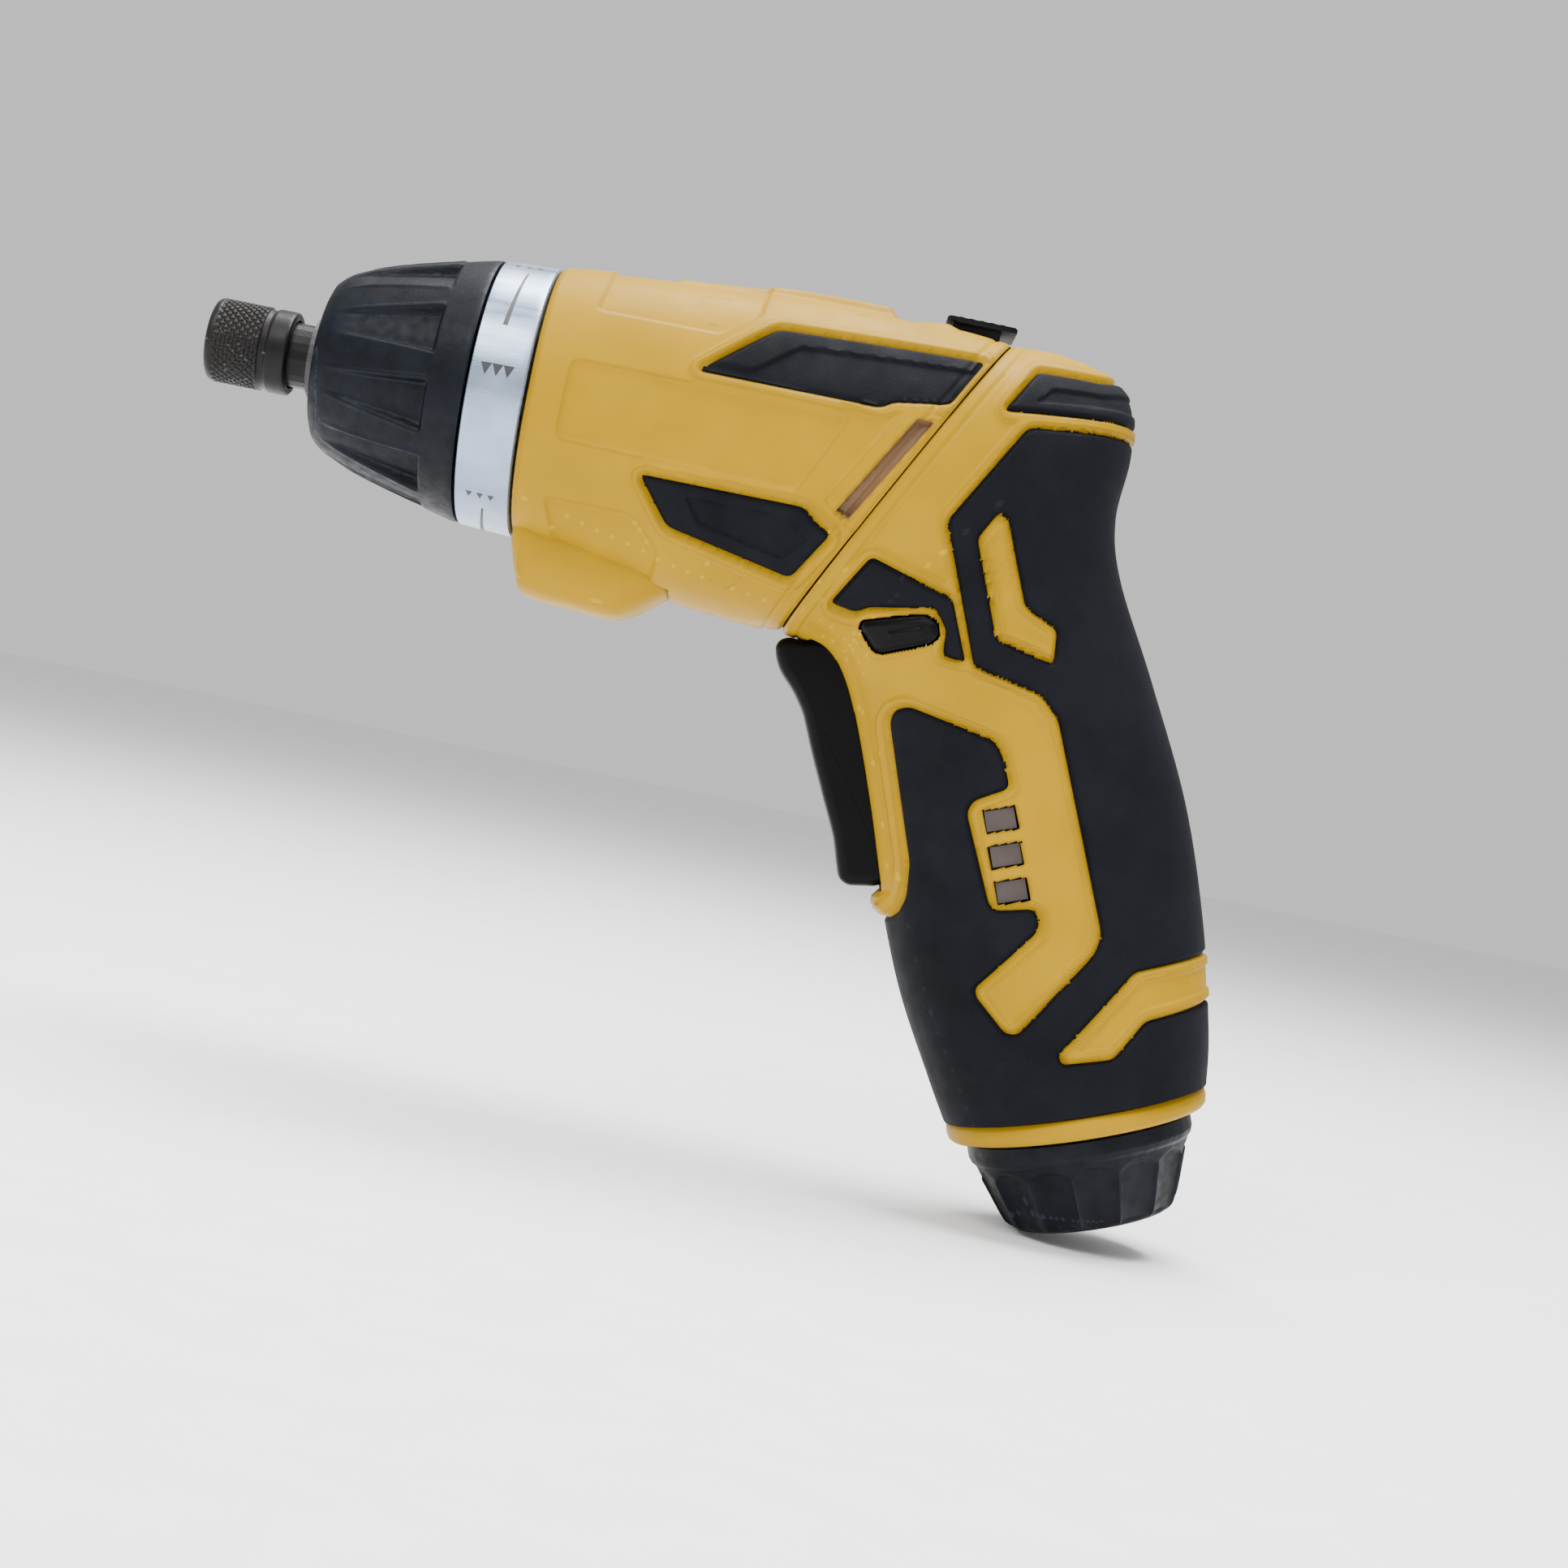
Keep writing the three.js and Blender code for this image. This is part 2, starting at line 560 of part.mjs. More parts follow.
// ---------------------------------------------------------------- motor
function buildMotor() {
  const { front, back, radius } = MOTOR;
  const flange = CASE.radius - CASE.wall - 0.3;
  const can = turnedX([[3.2, 57.8], [flange, 57.8], [flange, 60.2], [radius, 60.2], [radius, back],
    [radius - 1, back],
    [radius - 1, front + 1], [3.2, front + 1]], 24);
  piece("motor_can", can, "steel");
  piece("motor_magnet", tubeX(12.4, 9.9, 64.5, 84.5, 28), "dark");
  const slots = [0, 1, 2, 3, 4].map((i) => {
    const slot = block(65, 84, -0.9, 0.9, 4.2, 12);
    return slot.rotate([72 * i, 0, 0]);
  });
  const core = cut(rodX(9.2, 66, 83, 24), ...slots);
  const rotor = union(core, rodX(1.1, 50.6, 91.2, 10), rodX(3.6, 84.4, 88.6, 12));
  piece("motor_rotor", rotor, "copper");
  const pinion = sunGear(50.8, 57.2).subtract(rodX(1.3, 50, 58, 10));
  piece("motor_pinion", pinion, "brass");
  const bell = [[1.4, 90.3], [radius, 90.3], [radius, 92.2], [4.2, 92.2], [4.2, 94.0], [0, 94.0],
    [0, 92.0], [1.4, 92.0]];
  piece("motor_end_bell", turnedX(bell, 24), "black");
}

// ---------------------------------------------------------------- worklight
function buildLamp() {
  const { z, radius, front, back } = LENS;
  const profile = [[0, front], [radius - 0.6, front + 0.2], [radius, front + 1.0], [radius, back], [0, back]];
  const lens = turnedX(profile, 14);
  piece("lamp_lens", lens.translate([0, 0, z]), "clear");
}

// ---------------------------------------------------------------- swivel hub
function buildHub() {
  const { radius, bore, flange, near, far } = HUB;
  const profile = [[bore, -far], [flange, -far], [flange, -near], [radius, -near], [radius, near],
    [flange, near], [flange, far], [bore, far]];
  piece("swivel_hub", turnedSwivel(profile), "dark");
}

// ---------------------------------------------------------------- handle body form (own frame)
const handleDown = new THREE.Vector2(0.669, -0.743);
const handleSections = [
  handleSeam(SWIVEL.gap / 2),
  [31, 18.2, -21.3, -22.3, 23.6],
  [38, 13.8, -19, -23.6, 23.0],
  [42.2, 7.5, -16.8, -25.4, 22.3],
  [40.4, -1.5, -15, -28.6, 21.6],
  [36.2, -11.5, -13.8, -34, 20.9],
  [35.4, -22, -13.3, -42, 20.3],
  [38.0, -40, -13.3, -55, 20.1],
  [40.5, -62, -13.7, -70, 20.7],
  [40.2, -83, -13.0, -86, 21.5],
  [38.2, -101, -10.6, -101, 22.2],
  [36.4, -109.5, -9, -109.5, 22.5],
];

function handleSeam(distance) {
  const angle = seamAngle - leanAngle;
  const [dx, dz] = [handleDown.x * distance, handleDown.y * distance];
  const [ux, uz] = [Math.cos(angle) * SWIVEL.half, Math.sin(angle) * SWIVEL.half];
  return [dx + ux, dz + uz, dx - ux, dz - uz, SWIVEL.width];
}

// The soft black grip: rear and lower handle, running round the yellow hook on each side.
const gripOutline = [
  [22, 4.5], [60, -3.5], [60, -109], [-30, -109], [-30, -73.2], [-12.6, -73.0], [-10.4, -69.8], [-8.9, -64],
  [-8.5, -40.0], [-7.4, -38.2], [-5.0, -38.0], [8.2, -45.9], [9.3, -49], [9.5, -54.1], [3.2, -55.2],
  [1.8, -57], [3.0, -72.6], [4.0, -73.8], [10.2, -74.5], [10.9, -76.5], [10.1, -78.4], [-1.4, -86],
  [-1.6, -87.5], [2.2, -94.2], [4.2, -94.7], [19.2, -83.4], [20.8, -80.4], [19.4, -44], [17.1, -39.6],
  [6.8, -33.2], [6.1, -8.9]];
const gripInlay = [[14.8, -8.8], [16.2, -10.0], [16.9, -24.9], [21.7, -29.4], [20.1, -35.0], [11.2, -29.4],
  [10.6, -12.5]];
const rearInlay = [[60, -87.2], [25.4, -87.5], [10.3, -99.0], [10.7, -100.6], [19.3, -101.1], [25.9, -95.9],
  [60, -94.6]];
const shoulderPad = [[-15.1, -19.0], [-7.2, -12.8], [5.0, -21.6], [5.5, -32.4], [1.9, -30.6], [3.2, -26.5],
  [1.9, -22.6], [-8.9, -20.7], [-11.3, -21.2]];
const heelPad = [[25.6, 14.2], [36, 11.3], [60, 11.3], [60, 1.2], [42.5, 2.6], [18.4, 7.9]];
const selectorOutline = [[-9.9, -22.6], [0.2, -23.6], [2.0, -25.3], [1.8, -27.3], [0.3, -28.2], [-7.6, -28.3],
  [-8.6, -27.7], [-10.4, -23.6]];
const windowRows = [-59.0, -65.0, -71.0];
const WINDOW = { t: 7.2, half: 2.5, tall: 1.7 };
const TRIGGER_SLOT = { half: 5.5, top: -23.2, bottom: -68.4 };
const PIVOT = { t: -9.7, z: -32.5, radius: 1.5, half: 9.0 };
const guardLip = [[-12.2, -68.7], [-15.3, -68.9], [-15.9, -70.2], [-15.2, -71.8], [-13.8, -72.6],
  [-12.2, -72.6]];
const triggerOutline = [
  [-25.3, -25.6], [-25.1, -23.6], [-24.2, -22.7], [-22.6, -22.5], [-20.6, -23.4], [-19.5, -23.6],
  [-16.4, -23.6], [-11.8, -26.4], [-10.2, -28.2], [-8.9, -29.4], [-6.9, -31.0], [-6.9, -34.2],
  [-8.6, -36.4], [-10.5, -39.4], [-10.5, -44.6], [-8.6, -45.2], [-8.6, -47.8], [-10.5, -48.4],
  [-10.5, -66.4], [-14.2, -67.5], [-19.6, -66.3], [-20.7, -64.9], [-20.3, -59.2], [-21.2, -50],
  [-21.8, -43.3], [-22.1, -36.1], [-24.4, -28.9]];

const handleOuter = swept(handleSections);

function afterSeamInHandle(distance) {
  const [dx, dz] = [handleDown.x * distance, handleDown.y * distance];
  const far = 70;
  const [ux, uz] = [-handleDown.y * far, handleDown.x * far];
  const [first, last] = [[dx - ux, dz - uz], [dx + ux, dz + uz]];
  return slabY([first, last, [last[0] - 60, last[1] + 66], [first[0] - 60, first[1] + 66]], -60, 60);
}

function buildHandle() {
  const cavity = cut(swept([...handleSections, [36, -114, -8.6, -114, 22.5]], WALL), afterSeamInHandle(2.9));
  let shell = cut(handleOuter, cavity);
  shell = union(shell, ...bossesIn(handleScrews, handleOuter));
  shell = cut(shell, ...handleScrews.map(([t, z]) => screwHole(t, z)));
  shell = cut(shell, hubInHandle());
  const { half: slotHalf, top: slotTop, bottom: slotBottom } = TRIGGER_SLOT;
  shell = cut(shell, block(-50, -6.5, -slotHalf, slotHalf, slotBottom, slotTop));
  const pinSeats = union(
    rodY(3.2, PIVOT.t, PIVOT.z, -11.5, -slotHalf - 0.1),
    rodY(3.2, PIVOT.t, PIVOT.z, slotHalf + 0.1, 11.5));
  shell = union(shell, pinSeats.intersect(handleOuter), slabY(guardLip, -7.5, 7.5));
  shell = cut(shell, rodY(PIVOT.radius + 0.15, PIVOT.t, PIVOT.z, -PIVOT.half - 0.3, PIVOT.half + 0.3));
  shell = cut(shell, slabY(grown(selectorOutline, 0.4), -40, 40));
  for (const z of windowRows) {
    const { t, half, tall } = WINDOW;
    shell = cut(shell, block(t - half - 0.3, t + half + 0.3, -40, -10, z - tall - 0.3, z + tall + 0.3));
  }
  const core = swept(handleSections, PAD + PAD_GAP);
  const black = cut(slabY(gripOutline, -40, 40), slabY(gripInlay, -40, 40), slabY(rearInlay, -40, 40));
  const inlayIslands = [gripInlay, rearInlay].map((outline) => slabY(grown(outline, -PAD_GAP), -40, 40));
  const blackPocket = cut(slabY(grown(gripOutline, PAD_GAP), -40, 40), ...inlayIslands);
  shell = cut(shell, blackPocket.subtract(core));
  for (const outline of [shoulderPad, heelPad]) {
    shell = cut(shell, slabY(grown(outline, PAD_GAP), -40, 40).subtract(core));
  }
  handlePiece("handle_shell_left", shell.intersect(leftHalf), "yellow");
  handlePiece("handle_shell_right", shell.intersect(rightHalf), "yellow");
  const padInside = swept([handleSeam(-1), ...handleSections, [36.3, -112, -9, -112, 22.5]], PAD);
  const skin = cut(handleOuter, padInside);
  const holes = handleScrews.map(([t, z]) => rodY(SCREW.head + 0.6, t, z, 0, 40));
  const grip = cut(black.intersect(skin), ...holes);
  handlePiece("grip_left", grip.intersect(leftHalf), "black");
  handlePiece("grip_right", grip.intersect(rightHalf), "black");
  const selectorRoom = slabY(grown(selectorOutline, 0.8), -40, 40);
  const shoulder = cut(slabY(shoulderPad, -40, 40).intersect(skin), selectorRoom);
  handlePiece("shoulder_pad_left", shoulder.intersect(leftHalf), "black");
  handlePiece("shoulder_pad_right", shoulder.intersect(rightHalf), "black");
  handlePiece("heel_pad", slabY(heelPad, -40, 40).intersect(skin), "black");
  handleScrews.forEach(([t, z], i) => handlePiece(`handle_screw_${i + 1}`, screw(t, z), "dark"));
}

function hubInHandle() {
  const toHandle = handleFrame.clone().invert();
  const place = new THREE.Matrix4()
    .makeTranslation(SWIVEL.x, 0, SWIVEL.z)
    .multiply(new THREE.Matrix4().makeRotationY(Math.PI / 2 - seamAngle))
    .multiply(toX)
    .premultiply(toHandle);
  const r = HUB.radius + 0.3;
  return fixWinding(moved(turned([[0, -12], [r, -12], [r, 12], [0, 12]], 24), place));
}

// ---------------------------------------------------------------- trigger, switch and selector
function buildControls() {
  const lever = cut(slabY(triggerOutline, -5.0, 5.0), rodY(PIVOT.radius + 0.25, PIVOT.t, PIVOT.z, -8, 8));
  handlePiece("trigger", lever, "gloss");
  handlePiece("trigger_pin", rodY(PIVOT.radius, PIVOT.t, PIVOT.z, -PIVOT.half, PIVOT.half, 14), "steel");
  const body = block(-3.0, 9.5, -6.5, 6.5, -53.5, -38.5);
  const plunger = block(-6.6, -2.8, -2.0, 2.0, -48.5, -44.5);
  const tabs = [-3.5, 3.5].map((y) => block(2.5, 4.0, y - 1.2, y + 1.2, -38.7, -35.5));
  handlePiece("switch_body", union(body, plunger, ...tabs), "dark");
  const push = slabY(selectorOutline, -40, 40).intersect(swept(handleSections, -1.1));
  handlePiece("direction_selector", push, "gloss");
  const plate = block(3.4, 11.2, -16.0, -14.9, -74.4, -55.6);
  const { t, half, tall } = WINDOW;
  const lights = windowRows.map((z) => block(t - half, t + half, -19.2, -15.8, z - tall, z + tall));
  handlePiece("level_indicator", union(plate, ...lights), "clear");
}

// ---------------------------------------------------------------- battery cells and end cap
function buildBattery() {
  const { radius, bottom, top, offset } = CELL;
  for (let i = 0; i < 3; i++) {
    const angle = (2 * Math.PI * i) / 3;
    const profile = [[0, bottom], [radius - 0.5, bottom], [radius, bottom + 0.5], [radius, top - 0.5],
      [radius - 0.5, top], [2.6, top], [2.6, top + 1.2], [0, top + 1.2]];
    const [t, y] = [CAP.t + offset * Math.cos(angle), offset * Math.sin(angle)];
    handlePiece(`battery_cell_${i + 1}`, turnedZ(profile, t, y, 18), "cell");
  }
}

function buildEnd() {
  const ring = swept([[36.2, -109.9, -8.9, -109.9, 22.4], [36.6, -110.6, -9.2, -110.6, 22.8],
    [36.4, -112.8, -9.0, -112.8, 22.6], [35.6, -113.5, -8.3, -113.5, 21.9]]);
  const bore = turnedZ([[0, -120], [17.4, -120], [17.4, -100], [0, -100]], CAP.t, 0, 32);
  handlePiece("end_ring", ring.subtract(bore), "yellow");
  const { radius, spigot, top, bottom } = CAP;
  const profile = [[0, -107.2], [spigot, -107.2], [spigot, top], [radius, top], [radius, top - 3.0],
    [radius - 1.0, top - 4.2], [17.3, -121.8], [15.4, -127.4], [14.2, -129.5], [12.6, bottom], [0, bottom]];
  let cap = turnedZ(profile, CAP.t, 0, 24);
  const inside = [[0, -100], [14.6, -100], [14.6, -118], [12.4, -127.4], [0, -127.4]];
  cap = cut(cap, turnedZ(inside, CAP.t, 0, 24));
  const flutes = Array.from({ length: 14 }, (_, i) => {
    const groove = block(16.7, 24, -0.6, 0.6, -136, -119.4);
    const lean = groove.translate([-17.4, 0, 120]).rotate([0, 18, 0]).translate([17.4, 0, -120]);
    return lean.rotate([0, 0, (360 * i) / 14]).translate([CAP.t, 0, 0]);
  });
  handlePiece("end_cap", cut(cap, ...flutes), "black");
  const contact = fixWinding(coil(4.6, 0.4, -127.2, -121.0, 2.5, 10, 4)).translate([CAP.t, 0, 0]);
  handlePiece("contact_spring", contact, "steel");
}

buildHead();
buildLock();
buildSpindle();
buildSleeve();
buildCollar();
buildGearbox();
buildMotor();
buildLamp();
buildHub();
buildHandle();
buildControls();
buildBattery();
buildEnd();

export default group;
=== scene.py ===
import json
import math

import bpy
import numpy as np
from mathutils import Matrix, Vector


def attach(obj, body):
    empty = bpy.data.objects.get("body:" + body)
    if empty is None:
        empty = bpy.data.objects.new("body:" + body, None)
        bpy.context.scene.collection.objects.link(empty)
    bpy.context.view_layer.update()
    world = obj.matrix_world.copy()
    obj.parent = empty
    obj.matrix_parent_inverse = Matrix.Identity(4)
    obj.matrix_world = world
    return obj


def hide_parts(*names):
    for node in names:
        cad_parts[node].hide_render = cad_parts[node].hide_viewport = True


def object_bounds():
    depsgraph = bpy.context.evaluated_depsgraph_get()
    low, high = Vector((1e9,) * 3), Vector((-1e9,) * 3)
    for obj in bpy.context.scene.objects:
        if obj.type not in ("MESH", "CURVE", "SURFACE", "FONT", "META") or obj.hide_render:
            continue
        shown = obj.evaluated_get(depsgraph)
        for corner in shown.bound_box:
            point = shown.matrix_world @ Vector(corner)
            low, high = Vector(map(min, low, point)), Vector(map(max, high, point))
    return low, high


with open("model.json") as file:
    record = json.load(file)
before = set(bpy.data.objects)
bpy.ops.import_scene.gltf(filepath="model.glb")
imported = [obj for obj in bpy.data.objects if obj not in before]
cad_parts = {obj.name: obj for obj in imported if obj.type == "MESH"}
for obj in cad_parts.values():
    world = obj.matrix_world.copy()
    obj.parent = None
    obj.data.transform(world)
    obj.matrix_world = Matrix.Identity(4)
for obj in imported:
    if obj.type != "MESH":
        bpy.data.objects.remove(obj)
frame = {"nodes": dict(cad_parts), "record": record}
cad_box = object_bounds()

MM = 0.001

# ------------------------------------------------------------------ camera, light and floor
CAMERA_AIM = (0.0969, 0.0, -0.0561)
CAMERA_DISTANCE = 0.44
CAMERA_ROLL = math.radians(11.5)
CAMERA_LENS = 58.15


def add_camera():
    data = bpy.data.cameras.new("camera")
    data.lens = CAMERA_LENS
    data.sensor_width = 36.0
    data.clip_start = 0.01
    data.clip_end = 50.0
    camera = bpy.data.objects.new("camera", data)
    bpy.context.scene.collection.objects.link(camera)
    right = Vector((math.cos(CAMERA_ROLL), 0, math.sin(CAMERA_ROLL)))
    up = Vector((-math.sin(CAMERA_ROLL), 0, math.cos(CAMERA_ROLL)))
    back = right.cross(up)
    place = Matrix((right, up, back)).transposed().to_4x4()
    place.translation = Vector(CAMERA_AIM) + back * CAMERA_DISTANCE
    camera.matrix_world = place
    bpy.context.scene.camera = camera


def add_light(name, place, aim, size, power):
    data = bpy.data.lights.new(name, "AREA")
    data.shape = "RECTANGLE"
    data.size, data.size_y = size
    data.energy = power
    light = bpy.data.objects.new(name, data)
    bpy.context.scene.collection.objects.link(light)
    direction = Vector(aim) - Vector(place)
    light.rotation_euler = direction.to_track_quat("-Z", "Y").to_euler()
    light.location = place


def add_studio():
    world = bpy.data.worlds.new("studio")
    bpy.context.scene.world = world
    world.use_nodes = True
    background = world.node_tree.nodes["Background"]
    background.inputs["Color"].default_value = (1.0, 1.0, 1.0, 1)
    background.inputs["Strength"].default_value = 0.75
    centre = (0.08, 0, -0.05)
    add_light("key", (-0.35, -0.75, 0.75), centre, (0.8, 0.6), 15)
    add_light("top", (0.15, 0.05, 0.9), centre, (0.9, 0.5), 32)
    add_light("fill", (0.9, -0.6, 0.0), centre, (0.6, 0.9), 1.5)


def add_floor():
    low = cad_box[0][2]
    bpy.ops.mesh.primitive_plane_add(size=12, location=(0.08, 0, low - 0.0005))
    floor = bpy.context.object
    floor.name = "floor"
    paint = plain_material("floor_paint", (0.93, 0.93, 0.93), (0.90, 0.90, 0.90), roughness=0.9)
    floor.data.materials.append(paint)


# ------------------------------------------------------------------ materials
def plain_material(name, light, dark, roughness=0.5, spread=0.06, metallic=0.0, grain=0.0, grain_size=0.4,
                   blotch=12.0, wear_and_highlight=0.0, wear_and_highlight_colour=None, painted_shade=0.0, coat=0.0, brushed=None, gloss=0.5):
    """A procedural finish: two tones, uneven gloss, fine grain, lighter edges that stand for rubbed wear and
    a painted highlight, and painted shade darkening the crevices.
    """
    material = bpy.data.materials.new(name)
    material.use_nodes = True
    tree = material.node_tree
    nodes, links = tree.nodes, tree.links
    shader = nodes["Principled BSDF"]
    shader.inputs["Metallic"].default_value = metallic
    shader.inputs["Specular IOR Level"].default_value = gloss
    shader.inputs["Coat Weight"].default_value = coat
    shader.inputs["Coat Roughness"].default_value = 0.08
    place = nodes.new("ShaderNodeTexCoord")

    def noise(size_mm, detail=3.0, stretch=None):
        node = nodes.new("ShaderNodeTexNoise")
        node.inputs["Scale"].default_value = 1.0 / (size_mm * MM)
        node.inputs["Detail"].default_value = detail
        if stretch:
            mapping = nodes.new("ShaderNodeMapping")
            mapping.inputs["Scale"].default_value = stretch
            links.new(place.outputs["Object"], mapping.inputs["Vector"])
            links.new(mapping.outputs["Vector"], node.inputs["Vector"])
        else:
            links.new(place.outputs["Object"], node.inputs["Vector"])
        return node.outputs["Fac"]

    def ramp(source, low, high, first, last):
        node = nodes.new("ShaderNodeMapRange")
        node.inputs["From Min"].default_value = low
        node.inputs["From Max"].default_value = high
        node.inputs["To Min"].default_value = first
        node.inputs["To Max"].default_value = last
        links.new(source, node.inputs["Value"])
        return node.outputs["Result"]

    def mixed(factor, first, last):
        node = nodes.new("ShaderNodeMix")
        node.data_type = "RGBA"
        for key, value in ((6, first), (7, last)):
            if isinstance(value, tuple):
                node.inputs[key].default_value = (*value, 1)
            else:
                links.new(value, node.inputs[key])
        links.new(factor, node.inputs[0])
        return node.outputs[2]

    colour = mixed(ramp(noise(blotch), 0.35, 0.65, 0, 1), light, dark)
    fine = noise(grain_size, 2.0, brushed)
    rough = ramp(noise(blotch * 0.35, 4.0, brushed), 0.3, 0.7, roughness - spread, roughness + spread)
    if wear_and_highlight or painted_shade:
        geometry = nodes.new("ShaderNodeNewGeometry")
        if wear_and_highlight:
            # Painted highlight: convex edges and lips are lightened towards the edge colour, which also
            # stands for rubbed wear.
            edge = ramp(geometry.outputs["Pointiness"], 0.525, 0.60, 0, wear_and_highlight)
            colour = mixed(edge, colour, wear_and_highlight_colour or light)
        if painted_shade:
            # Painted shade: hollows, creases and gaps between parts are darkened to a quarter of the dark
            # tone.
            painted_crevice_shade = ramp(geometry.outputs["Pointiness"], 0.495, 0.44, 0, painted_shade)
            colour = mixed(painted_crevice_shade, colour, tuple(0.25 * c for c in dark))
    links.new(colour, shader.inputs["Base Color"])
    links.new(rough, shader.inputs["Roughness"])
    if grain:
        bump = nodes.new("ShaderNodeBump")
        bump.inputs["Strength"].default_value = grain
        bump.inputs["Distance"].default_value = 0.1 * MM
        links.new(fine, bump.inputs["Height"])
        links.new(bump.outputs["Normal"], shader.inputs["Normal"])
    return material


# One finish for each material slot of the record, and for the painted shadow in the vents and the printed
# marks.
FINISHES = {
    # Yellow plastic: its lighter edge colour paints highlights along the lips and ridges, and also stands for
    # rubbed wear.
    "yellow_body": dict(
        name="yellow_plastic", light=(0.345, 0.195, 0.0), dark=(0.31, 0.174, 0.0), roughness=0.48,
        # The crevice setting here paints shade into the creases and gaps of the yellow plastic.
        grain=0.12, grain_size=0.3, wear_and_highlight=0.45, wear_and_highlight_colour=(0.50, 0.33, 0.015), painted_shade=0.55, gloss=0.08),
    "black_grip": dict(
        name="soft_grip", light=(0.0035, 0.0042, 0.0068), dark=(0.0020, 0.0025, 0.0042), roughness=0.72,
        grain=0.9, grain_size=0.28, wear_and_highlight=0.3, wear_and_highlight_colour=(0.018, 0.020, 0.027), gloss=0.10),
    # Collar plastic: its lighter edge colour paints highlights along the flute ridges, and also stands for
    # rubbed wear.
    "black_collar": dict(
        name="collar_plastic", light=(0.0028, 0.0042, 0.0082), dark=(0.0009, 0.0014, 0.0028),
        roughness=0.50, spread=0.1, grain=0.35, grain_size=0.5, blotch=5,
        wear_and_highlight=0.35, wear_and_highlight_colour=(0.030, 0.041, 0.062), gloss=0.12),
    "gloss_black": dict(
        name="gloss_plastic", light=(0.0020, 0.0020, 0.0023), dark=(0.0015, 0.0015, 0.0018),
        roughness=0.42, spread=0.05, grain=0.05, wear_and_highlight=0.3, wear_and_highlight_colour=(0.015, 0.016, 0.018), gloss=0.08),
    "scale_silver": dict(
        name="silver_ring", light=(0.30, 0.36, 0.46), dark=(0.25, 0.31, 0.41), roughness=0.32,
        spread=0.08, metallic=0.75, grain=0.2, grain_size=0.25, blotch=6, brushed=(0.15, 1, 1)),
    "black_oxide": dict(
        name="oxide_steel", light=(0.012, 0.011, 0.0105), dark=(0.006, 0.0055, 0.0055), roughness=0.42,
        metallic=0.3, grain=0.3, wear_and_highlight=0.7, wear_and_highlight_colour=(0.10, 0.096, 0.092), gloss=0.15),
    "bright_steel": dict(
        name="ground_steel", light=(0.50, 0.51, 0.53), dark=(0.40, 0.41, 0.43), roughness=0.28,
        metallic=1.0, grain=0.2, blotch=3, brushed=(0.1, 1, 1)),
    "screw_steel": dict(
        name="screw_zinc", light=(0.06, 0.06, 0.065), dark=(0.04, 0.04, 0.045), roughness=0.35,
        metallic=0.9, grain=0.2, wear_and_highlight=0.6, wear_and_highlight_colour=(0.3, 0.3, 0.3)),
    "gear_case": dict(
        name="filled_nylon", light=(0.022, 0.022, 0.024), dark=(0.015, 0.015, 0.016), roughness=0.55,
        grain=0.5, grain_size=0.2),
    "planet_plastic": dict(
        name="acetal", light=(0.72, 0.69, 0.60), dark=(0.66, 0.63, 0.54), roughness=0.4, grain=0.1),
    "motor_steel": dict(
        name="zinc_can", light=(0.48, 0.49, 0.50), dark=(0.38, 0.39, 0.40), roughness=0.35,
        metallic=1.0, grain=0.25, blotch=4),
    "ferrite": dict(
        name="ferrite_grey", light=(0.06, 0.06, 0.065), dark=(0.04, 0.04, 0.045), roughness=0.7, grain=0.6),
    "rotor_copper": dict(
        name="wound_rotor", light=(0.45, 0.22, 0.12), dark=(0.30, 0.15, 0.09), roughness=0.4,
        metallic=0.8, grain=0.6, grain_size=0.6, brushed=(0.2, 1, 1)),
    "brass": dict(
        name="turned_brass", light=(0.62, 0.46, 0.18), dark=(0.50, 0.37, 0.14), roughness=0.3,
        metallic=1.0, grain=0.2, brushed=(1, 0.2, 0.2)),
    "indicator_clear": dict(
        name="smoked_guide", light=(0.055, 0.040, 0.035), dark=(0.030, 0.024, 0.022), roughness=0.15,
        spread=0.04, grain=0.05, coat=0.4),
    "lamp_clear": dict(
        name="lamp_plastic", light=(0.80, 0.84, 0.88), dark=(0.72, 0.76, 0.80), roughness=0.12,
        spread=0.03, grain=0.05, coat=0.6),
    "cell_wrap": dict(
        name="cell_wrap", light=(0.10, 0.30, 0.18), dark=(0.07, 0.24, 0.14), roughness=0.3, grain=0.1),
    "spring_steel": dict(
        name="spring_wire", light=(0.42, 0.43, 0.45), dark=(0.34, 0.35, 0.37), roughness=0.3,
        metallic=1.0, grain=0.2),
    # The vent finish is yellow plastic painted dark brown: painted shadow on the floor and walls of the vent
    # recess.
    "vent": dict(
        name="vent_shadow", light=(0.17, 0.085, 0.028), dark=(0.12, 0.06, 0.020), roughness=0.6, grain=0.4),
    "mark": dict(
        name="printed_mark", light=(0.012, 0.013, 0.018), dark=(0.02, 0.02, 0.026), roughness=0.5, grain=0.2),
}


def make_materials():
    return {key: plain_material(**finish) for key, finish in FINISHES.items()}


# ------------------------------------------------------------------ meshes
def add_piece(name, vertices, faces, body, slot, replaces=(), finish=None, smooth=True, sharp=35):
    """A visible piece on a body; it takes its slot's finish unless another one is named."""
    mesh = bpy.data.meshes.new(name)
    mesh.from_pydata([tuple(v) for v in vertices], [], [tuple(int(i) for i in f) for f in faces])
    mesh.validate()
    mesh.update()
    piece = bpy.data.objects.new(name, mesh)
    bpy.context.scene.collection.objects.link(piece)
    mesh.materials.append(materials[finish or slot])
    if smooth:
        mesh.shade_smooth()
        mesh.set_sharp_from_angle(angle=math.radians(sharp))
    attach(piece, body)
    if replaces:
        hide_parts(*replaces)


